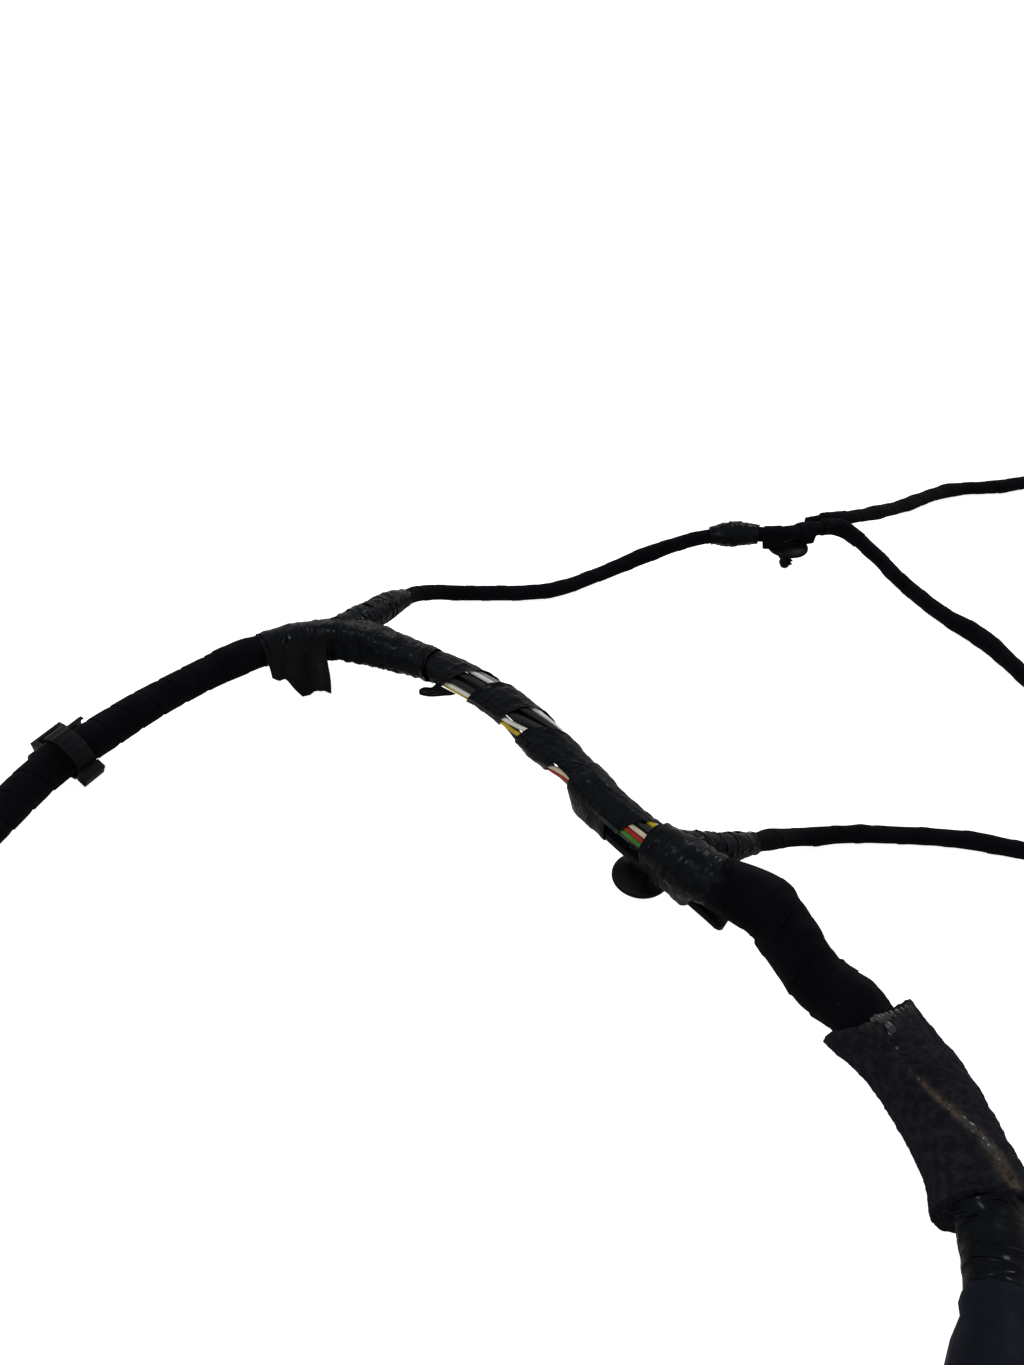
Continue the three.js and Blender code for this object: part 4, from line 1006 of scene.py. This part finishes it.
class HARNESS_OT_vinyl_wraps(bpy.types.Operator):
    """Glossy wraps at both breakouts, at the clips, at the joint of branch A and behind the boot"""

    bl_idname = "harness.vinyl_wraps"
    bl_label = "Vinyl wraps"

    def execute(self, context):
        r = radii()
        bore, bundle, cloth, wrap = r["bore"], r["bundle"], r["cloth"], r["wrap"]
        leg_a, leg_b = size_of("cord_a") / 2, size_of("cord_b") / 2
        bar_drop = wrap + GAP + TRUNK_CLIP["thick"] + GAP
        bar_half = TRUNK_CLIP["width"] / 2 + GAP

        def boxy(s, angle, base):
            return base + 0.9 * hump(s, 250, 15) * np.cos(4 * (angle - 0.5))
        trunk = vinyl_wrap(TRUNK, [
            (WRAP_A[0], bore + 0.6), (216, bore + 1.2), (229, bore + 1.5), (240, wrap + 1.0),
            (257, wrap + 0.9), (268, wrap + 0.1), (276, wrap - 0.6), (284, bundle + 1.2),
            (WRAP_A[1], bundle + 1.3),
        ], 8.5, 61, 0.9, 0.16, form=boxy)
        leg = vinyl_wrap(BRANCH_A, [
            (3, leg_a + 4.8), (12, leg_a + 4.0), (24, leg_a + 2.7), (38, leg_a + 1.9), (46, leg_a + 1.0),
            (50, leg_a + 0.5),
        ], 8, 62, 0.6, 0.15, width=15)
        dress(join(trunk, leg), "breakout_a_tape", "vinyl", ["breakout_a_wrap"], 0.7)

        def over_bar(s, angle, base):
            held = held_radius(angle, base, bar_half, bar_drop + 0.25 * np.clip(s - 432, 0, 8))
            share = 1 - smooth(s, 437, 444)
            return base + (held - base) * share
        trunk = vinyl_wrap(TRUNK, [
            (WRAP_B[0], wrap - 0.7), (426, wrap - 0.1), (438, wrap + 0.4), (446, cloth + 1.5),
            (WRAP_B[1], cloth + 1.3),
        ], 5.5, 64, 0.7, 0.18, form=over_bar)
        leg = vinyl_wrap(BRANCH_B, [
            (2, leg_b + 3.4), (10, leg_b + 2.2), (20, leg_b + 1.4), (30, leg_b + 0.9), (37, leg_b + 0.3),
        ], 7, 65, 0.7, 0.18, width=13)
        dress(join(trunk, leg), "breakout_b_tape", "vinyl", ["breakout_b_wrap"], 0.7)

        def round_bar(s, angle, base):
            drop = bar_drop * (0.72 + 0.28 * smooth(s, 380, 387))
            held = held_radius(angle, base, bar_half * (0.8 + 0.2 * smooth(s, 381, 387)), drop)
            return held + 0.9 * hump(s, 388, 6) * facing(angle, 3.9) ** 2
        front = vinyl_wrap(TRUNK, [
            (381, bundle + 0.3), (386, bundle + 0.9), (393, bundle + 0.8), (399, bundle - 0.1),
            (403, bundle - 0.4),
        ], 4, 63, 0.35, 0.2, FRONT_TAPE, form=round_bar)
        dress(front, "clip_tape_front_wound", "vinyl", ["clip_tape_front"], 0.7)

        joint = vinyl_wrap(BRANCH_A, [
            (219, leg_a + 0.4), (225, leg_a + 1.5), (233, leg_a + 1.6), (243, leg_a + 0.5),
        ], 3, 66, 0.7, 0.3, width=15)
        dress(joint, "branch_joint_tape", "vinyl", ["branch_joint_wrap"], 0.7)
        last = vinyl_wrap(TRUNK, [
            (560, cloth + 2.6), (566, cloth + 1.6), (579, cloth + 1.3), (586, cloth + 1.4),
        ], 8, 67, 0.35, 0.12, END_TAPE)
        dress(last, "boot_tape", "vinyl", ["end_tape"], 0.7)

        drop = leg_a + GAP + BRANCH_CLIP["thick"] + 0.5

        def tie(start, seed):
            def bed(s, angle):
                held = held_radius(angle, leg_a + 0.1, BRANCH_CLIP["width"] / 2, drop)
                return held + 0.15 * skin(s, angle, 3, seed, 4)
            return narrow_strip(BRANCH_A, 2.2, start, start + 9, 8, bed, seed, 10, 0.1)
        dress(join(tie(245, 75), tie(263, 76)), "branch_clip_tape_wound", "cloth",
              ["branch_clip_tape_1", "branch_clip_tape_2"], 0.7)
        split = narrow_strip(BRANCH_A, 3.0, 277, 300, 15,
                             lambda s, angle: leg_a + 0.1 + 0.25 * skin(s, angle, 4, 68, 4), 68, 12, 0.08)
        arm = narrow_strip(BRANCH_A1, 2.6, 9, 24, 12,
                           lambda s, angle: leg_a - 0.3 + 0.2 * skin(s, angle, 4, 69, 4), 69, 12, 0.08)
        dress(join(split, arm), "split_tape", "cloth", ["split_wrap"], 0.7)
        return {"FINISHED"}


# Foam: where its upper edge lies round the bundle, by angle in degrees, and the line of its stain
FOAM_EDGE = [(20, 509), (55, 511.5), (90, 510.5), (120, 507.5), (150, 504.5), (185, 502), (205, 501.5),
             (250, 503.5), (300, 505), (345, 507)]
FOAM_END = 562.3
STAIN_LINE = [(507, 118), (520, 124), (528, 123), (538, 109), (546, 93), (552, 83), (563, 71)]
STAIN_WIDTH = [(507, 0.03), (526, 0.04), (532, 0.07), (546, 0.13), (563, 0.2)]
GLUE = [  # s, angle in degrees, size in mm
    (507.8, 115, 0.8), (508.6, 109, 1.0), (509.4, 103, 1.1), (510.0, 97, 1.1), (510.4, 90, 1.0),
    (510.8, 82, 0.9), (511.2, 73, 0.8), (511.4, 64, 0.6), (512.6, 106, 1.3), (513.8, 112, 0.8),
    (518.5, 119, 0.5), (529.5, 120, 0.6), (540.0, 105, 0.8), (544.5, 97, 1.2), (546.5, 92, 1.4),
    (550.5, 86, 1.4), (552.5, 84, 1.1), (556.0, 79, 0.9),
]


def stain_angle(s):
    return np.radians(np.interp(s, *np.array(STAIN_LINE, float).T))


class HARNESS_OT_foam_sleeve(bpy.types.Operator):
    """Foam sleeve cut from a flat piece, torn at its edges, with a stain and dried glue"""

    bl_idname = "harness.foam_sleeve"
    bl_label = "Foam sleeve"

    def execute(self, context):
        wall = size_of("foam_thickness")
        inner = radii()["cloth"] + 1.8 + GAP
        edge = np.array(FOAM_EDGE, float).T

        def outside(s, angle):
            grain = 0.2 * skin(s, angle, 1.0, 71, 12) + 0.22 * skin(s, angle, 2.4, 72, 12)
            slow = 0.35 * skin(s, angle, 12, 73, 12) + 0.25 * np.cos(2 * (angle - 1.1))
            bumps = 0.55 * smooth(np.cos(angle - 0.35), 0.75, 1) * skin(s, angle, 2.0, 74, 12)
            flare = 0.9 * (1 - smooth(s, 501, 513)) * (0.6 + 0.4 * np.cos(angle - 3.5))
            flare = flare + 2.2 * (1 - smooth(s, 506, 522)) * facing(angle, 0.35) ** 2
            flare = flare + 2.0 * smooth(s, 550, 562) * facing(angle, 3.7)
            seam = 0.5 * hump(angle, stain_angle(s), 0.06)
            return inner + wall + grain + slow + bumps + flare - seam

        def place(u, angle):
            start = np.interp(np.degrees(angle), *edge, period=360)
            along = np.interp(u, [0, 0.03, 0.9, 0.93, 1], [0, 0, 1, 1, 0])
            out = np.interp(u, [0, 0.03, 0.9, 0.93, 1], [0, 1, 1, 0, 0])
            return start, start + (FOAM_END - start) * along, out

        def shape(u, angle):
            _, s, out = place(u, angle)
            ragged = s + 0.35 * noise(angle * 9, 3.5, np.round(u), 77)
            points = TRUNK.ring(ragged, inner * (1 - out) + outside(s, angle) * out, angle)
            return np.maximum(points, (-1, -1, 0.1 * MM))

        def stain(u, angle):
            start, s, out = place(u, angle)
            width = np.interp(s, *np.array(STAIN_WIDTH, float).T)
            line = hump(angle, stain_angle(s), width) * (0.25 + 0.75 * smooth(s, 524, 533))
            lip = hump(s, start, 2.0) * smooth(np.cos(angle - 1.5), 0.5, 0.9) * 0.5
            return np.clip(line + lip, 0, 1) * (out > 0.5)
        sleeve = round_piece(170, 130, shape, stain)
        edit(sleeve, lambda: bpy.ops.mesh.normals_make_consistent(inside=False))
        dress(sleeve, "torn_foam_sleeve", "foam", ["foam_sleeve"], 0.9)

        blobs = []
        for i, (s, degrees, size) in enumerate(GLUE):
            angle = math.radians(degrees)
            deselect()
            bpy.ops.mesh.primitive_ico_sphere_add(subdivisions=3, radius=size * MM)
            blob = bpy.context.object
            points = get_points(blob) / MM
            bumpy = 1 + 0.35 * noise(points[:, 0] * 0.9, points[:, 1] * 0.9, points[:, 2] * 0.9 + i * 7, 79)
            centre, left, up, forward = TRUNK.at(s)
            outward = left * math.cos(angle) + up * math.sin(angle)
            around = -left * math.sin(angle) + up * math.cos(angle)
            axes = np.stack([around * 0.8, forward * 1.25, outward * 0.38])
            middle = centre + outward * (outside(np.array(s), np.array(angle)) + 0.05 * size)
            set_points(blob, (points * bumpy[:, None] @ axes + middle) * MM)
            blobs.append(blob)
        dress(join(*blobs), "dried_glue", "glue")
        return {"FINISHED"}


# Stud clips: the bar under the run, then where the stud stands and how far its disc and its tip hang down
TRUNK_CLIP = {"start": 387.2, "length": 67, "width": 10, "thick": 3.2, "droop": 6.0, "free": 17,
              "at": 417, "disc": 19.5, "tip": 28}
BRANCH_CLIP = {"start": 246, "length": 26, "width": 6, "thick": 2, "droop": 0, "free": 4,
               "at": 259, "disc": 7.6, "tip": 19.8}
# Height above the disc's level and radius, from the collar over the rim to the dish below
DISC = [
    (2.2, 0), (2.2, 4.2), (1.9, 5.5), (1.4, 7.2), (0.75, 8.8), (0.35, 9.6), (0.1, 9.9), (-0.4, 10.05),
    (-1.1, 10.05), (-1.5, 9.8), (-1.6, 9.4), (-1, 8), (-0.2, 6.2), (0.5, 4.6), (0.8, 3.6), (0.8, 0),
]


def stud_clip(run, clip, top):
    """Bar, neck, dished disc and finned stud in one moulding, held under a run."""
    start, end = clip["start"], clip["start"] + clip["length"]
    matrix = run.matrix(clip["at"], level=True)

    def bar(u, angle):
        s = start + (end - start) * u
        inside = np.clip(np.minimum(s - start, end - s) / 3, 0, 1) ** 0.5
        across = np.sign(np.cos(angle)) * np.abs(np.cos(angle)) ** 0.35 * clip["width"] / 2
        deep = np.sign(np.sin(angle)) * np.abs(np.sin(angle)) ** 0.35 * clip["thick"] / 2
        drop = clip["droop"] * np.clip(1 - (end - s) / clip["free"], 0, 1) ** 1.3
        low = top + clip["thick"] / 2 + drop
        return run.place(s, across * (0.6 + 0.4 * inside), deep * (0.8 + 0.2 * inside) - low)
    disc, tip, low = clip["disc"], clip["tip"], top + clip["thick"] / 2
    stud = [(-tip, 0), (-tip, 1.7), (-tip + 0.5, 2.1), (-tip + 2.4, 3), (-tip + 2.8, 3), (-tip + 4.2, 2.6),
            (-disc + 1.2, 2.6), (-disc + 1.2, 0)]
    fins = [brick(matrix, (8.8, 0.8, 3), (0, -tip + 3.6 + 2 * i, 0), 0.2) for i in range(5)
            if -tip + 4.4 + 2 * i < -disc - 1.6]
    neck_top, neck_end = -low, -disc + 0.9
    return join(capped(round_piece(round(clip["length"]), 40, bar)),
                brick(matrix, (4.4, neck_top - neck_end, 8), (0, (neck_top + neck_end) / 2, 0), 0.4),
                lathed([(height - disc, radius) for height, radius in DISC], matrix, 72),
                lathed(stud, matrix, 32), *fins)


# Fleece flag: depth of its lower edge below the upper one, along the trunk from where it starts. Its size
# laid flat is in metres.
FLAG_EDGE = [(0, 12), (3, 14), (7, 16), (10, 20), (13, 24.5), (17, 25), (21, 23.5), (26, 22.5), (30, 24)]
FLAG_START = 208
FLAG_SIZE = (0.03, 0.025)


class HARNESS_OT_fleece_flag(bpy.types.Operator):
    """Loose end of soft tape that hangs from the first wrap"""

    bl_idname = "harness.fleece_flag"
    bl_label = "Fleece flag"

    def execute(self, context):
        stand = radii()["bore"] + 2.9
        obj, u, v = flat_sheet(58, 48)
        along = FLAG_SIZE[0] / MM * u
        depth = np.interp(along, *np.array(FLAG_EDGE, float).T) + 0.3 * noise(along / 1.5, 0.5, 0.5, 81)
        down = v * depth
        # It follows the wrap from 140 degrees down to its near side, then hangs and leans outwards
        fine = np.linspace(0, 28, 225)
        heading = np.radians(np.clip(40 - np.degrees(fine / stand), 0, 40) + 32 * smooth(fine, 9, 18))
        p_path = stand * math.cos(math.radians(140)) - np.cumsum(np.sin(heading)) * 0.125
        q_path = stand * math.sin(math.radians(140)) - np.cumsum(np.cos(heading)) * 0.125
        wave = smooth(down, 3, 11) * (3.0 + 1.4 * np.sin(along / 2.2 + down / 8)
                                         + 1.5 * noise(along / 3.4, down / 4.5, 0.5, 82))
        wave = wave * (1 - 0.5 * smooth(down, 17, 24)) + 2.0 * smooth(along, 24, 30) * smooth(down, 17, 25)
        p = np.interp(down, fine, p_path) - wave
        q = np.interp(down, fine, q_path)
        s = FLAG_START + along + 0.06 * down * (u - 0.35) * 2
        points = TRUNK.place(s, p, q)
        set_points(obj, np.maximum(points, (-1, -1, 0.6 * MM)))
        set_uv(obj, np.stack([along, down], 1) * MM)
        modify(obj, "SOLIDIFY", thickness=0.55 * MM, offset=0)
        dress(obj, "fleece_tape_flag", "fleece", ["tape_flag"], 1.0)
        return {"FINISHED"}


def refined(node, name, key, width):
    """A copy of a solid with its edges rounded by width."""
    obj = bpy.data.objects.new(name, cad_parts[node].data.copy())
    bpy.context.collection.objects.link(obj)
    edit(obj, lambda: bpy.ops.mesh.customdata_custom_splitnormals_clear(),
         lambda: bpy.ops.mesh.remove_doubles(threshold=1e-6),
         lambda: bpy.ops.mesh.dissolve_limited(angle_limit=0.02))
    modify(obj, "BEVEL", width=width * MM, segments=2, limit_method="ANGLE", angle_limit=0.5)
    dress(obj, name, key, [node], 0.6)


class HARNESS_OT_moulded_parts(bpy.types.Operator):
    """Plugs, clips, cover and boot with rounded edges and moulded finishes"""

    bl_idname = "harness.moulded_parts"
    bl_label = "Moulded parts"

    def execute(self, context):
        # How far a plug's housing and grommet are rounded, and how far its lock and seal
        for plug, wide, narrow in (
            ("left_plug", 0.25, 0.15), ("right_plug", 0.25, 0.15),
            ("branch_a_plug", 0.15, 0.1), ("branch_a1_plug", 0.15, 0.1), ("branch_b_plug", 0.15, 0.1),
        ):
            for node, part, key, slot in PLUG_PARTS:
                if f"{plug}_{node}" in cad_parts:
                    width = narrow if node in ("lock", "seal") else wide
                    refined(f"{plug}_{node}", f"{plug}_{part}", key, width)
        refined("left_plug_cover", "left_plug_hood", "plastic", 0.4)
        refined("end_boot", "rubber_boot", "rubber", 0.4)
        for node in ("band_clip_base", "band_clip_strap"):
            refined(node, node + "_moulding", "plastic", 0.2)
        clip = stud_clip(TRUNK, TRUNK_CLIP, radii()["wrap"] + GAP)
        dress(clip, "trunk_stud_clip_moulding", "plastic", ["trunk_stud_clip"], 0.6)
        clip = stud_clip(BRANCH_A, BRANCH_CLIP, size_of("cord_a") / 2 + GAP + 0.2)
        dress(clip, "branch_clip_moulding", "plastic", ["branch_stud_clip"], 0.6)
        return {"FINISHED"}


# Light: how bright the surround is for the object, and each lamp's place, size and power
SURROUND = 0.28
LAMPS = (
    ("Key lamp", (-0.45, -0.55, 1.0), 0.16, 4.0),
    ("Far lamp", (0.15, 1.0, 0.9), 0.28, 5.0),
)
LAMP_AIM = (0, 0.08, 0)


class HARNESS_OT_stage(bpy.types.Operator):
    """White floor, soft lamps and a white surround"""

    bl_idname = "harness.stage"
    bl_label = "Stage"

    def execute(self, context):
        deselect()
        bpy.ops.mesh.primitive_plane_add(size=14, location=(0, 0, -0.0002))
        floor = context.object
        floor.name = "floor"
        material, tree, shader = new_material("Matt white floor", {
            "Roughness": 1.0, "Specular IOR Level": 0.0, "Base Color": (0.86, 0.86, 0.86, 1),
            "Emission Color": (1, 1, 1, 1)})
        seen = add_node(tree, "ShaderNodeLightPath").outputs["Is Camera Ray"]
        lift = add_node(tree, "ShaderNodeMath", {0: seen, 1: 0.9}, operation="MULTIPLY").outputs[0]
        set_inputs(tree, shader, {"Emission Strength": lift})
        floor.data.materials.append(material)

        world = bpy.data.worlds.new("White surround")
        context.scene.world = world
        world.use_nodes = True
        tree = world.node_tree
        path = add_node(tree, "ShaderNodeLightPath").outputs
        seen = path["Is Camera Ray"]
        for kind in ("Is Glossy Ray", "Is Transmission Ray"):
            seen = add_node(tree, "ShaderNodeMath", {0: seen, 1: path[kind]}, operation="MAXIMUM").outputs[0]
        level = add_node(tree, "ShaderNodeMapRange", {"Value": seen, "To Min": SURROUND, "To Max": 1.0})
        set_inputs(tree, tree.nodes["Background"], {
            "Color": (1, 1, 1, 1), "Strength": level.outputs["Result"]})

        for name, place, size, power in LAMPS:
            bpy.ops.object.light_add(type="AREA", location=place)
            lamp = context.object
            lamp.name = name
            lamp.data.size = size
            lamp.data.energy = power
            lamp.rotation_mode = "QUATERNION"
            lamp.rotation_quaternion = (Vector(LAMP_AIM) - Vector(place)).to_track_quat("-Z", "Y")
        context.scene.view_settings.view_transform = "Standard"
        return {"FINISHED"}


STEPS = (
    HARNESS_OT_camera, HARNESS_OT_branches, HARNESS_OT_wires, HARNESS_OT_cloth_wraps, HARNESS_OT_spiral_tape,
    HARNESS_OT_vinyl_wraps, HARNESS_OT_foam_sleeve, HARNESS_OT_fleece_flag, HARNESS_OT_moulded_parts,
    HARNESS_OT_soft_goods, HARNESS_OT_stage,
)


class HARNESS_PT_panel(bpy.types.Panel):
    """Sizes, colours and steps of the harness"""

    bl_idname = "HARNESS_PT_panel"
    bl_label = "Wiring harness"
    bl_space_type = "VIEW_3D"
    bl_region_type = "UI"
    bl_category = "Harness"

    def draw(self, context):
        for group in (context.scene.harness_sizes, context.scene.harness_colours):
            for name in group.__annotations__:
                self.layout.prop(group, name)
        for step in STEPS:
            self.layout.operator(step.bl_idname)


CLASSES = (HarnessSizes, HarnessColours, *STEPS, HARNESS_PT_panel)


def register():
    for cls in CLASSES:
        bpy.utils.register_class(cls)
    bpy.types.Scene.harness_sizes = PointerProperty(type=HarnessSizes)
    bpy.types.Scene.harness_colours = PointerProperty(type=HarnessColours)


def unregister():
    del bpy.types.Scene.harness_colours
    del bpy.types.Scene.harness_sizes
    for cls in reversed(CLASSES):
        bpy.utils.unregister_class(cls)


def main():
    register()
    for step in STEPS:
        group, name = step.bl_idname.split(".")
        getattr(getattr(bpy.ops, group), name)()


if __name__ == "__main__":
    main()
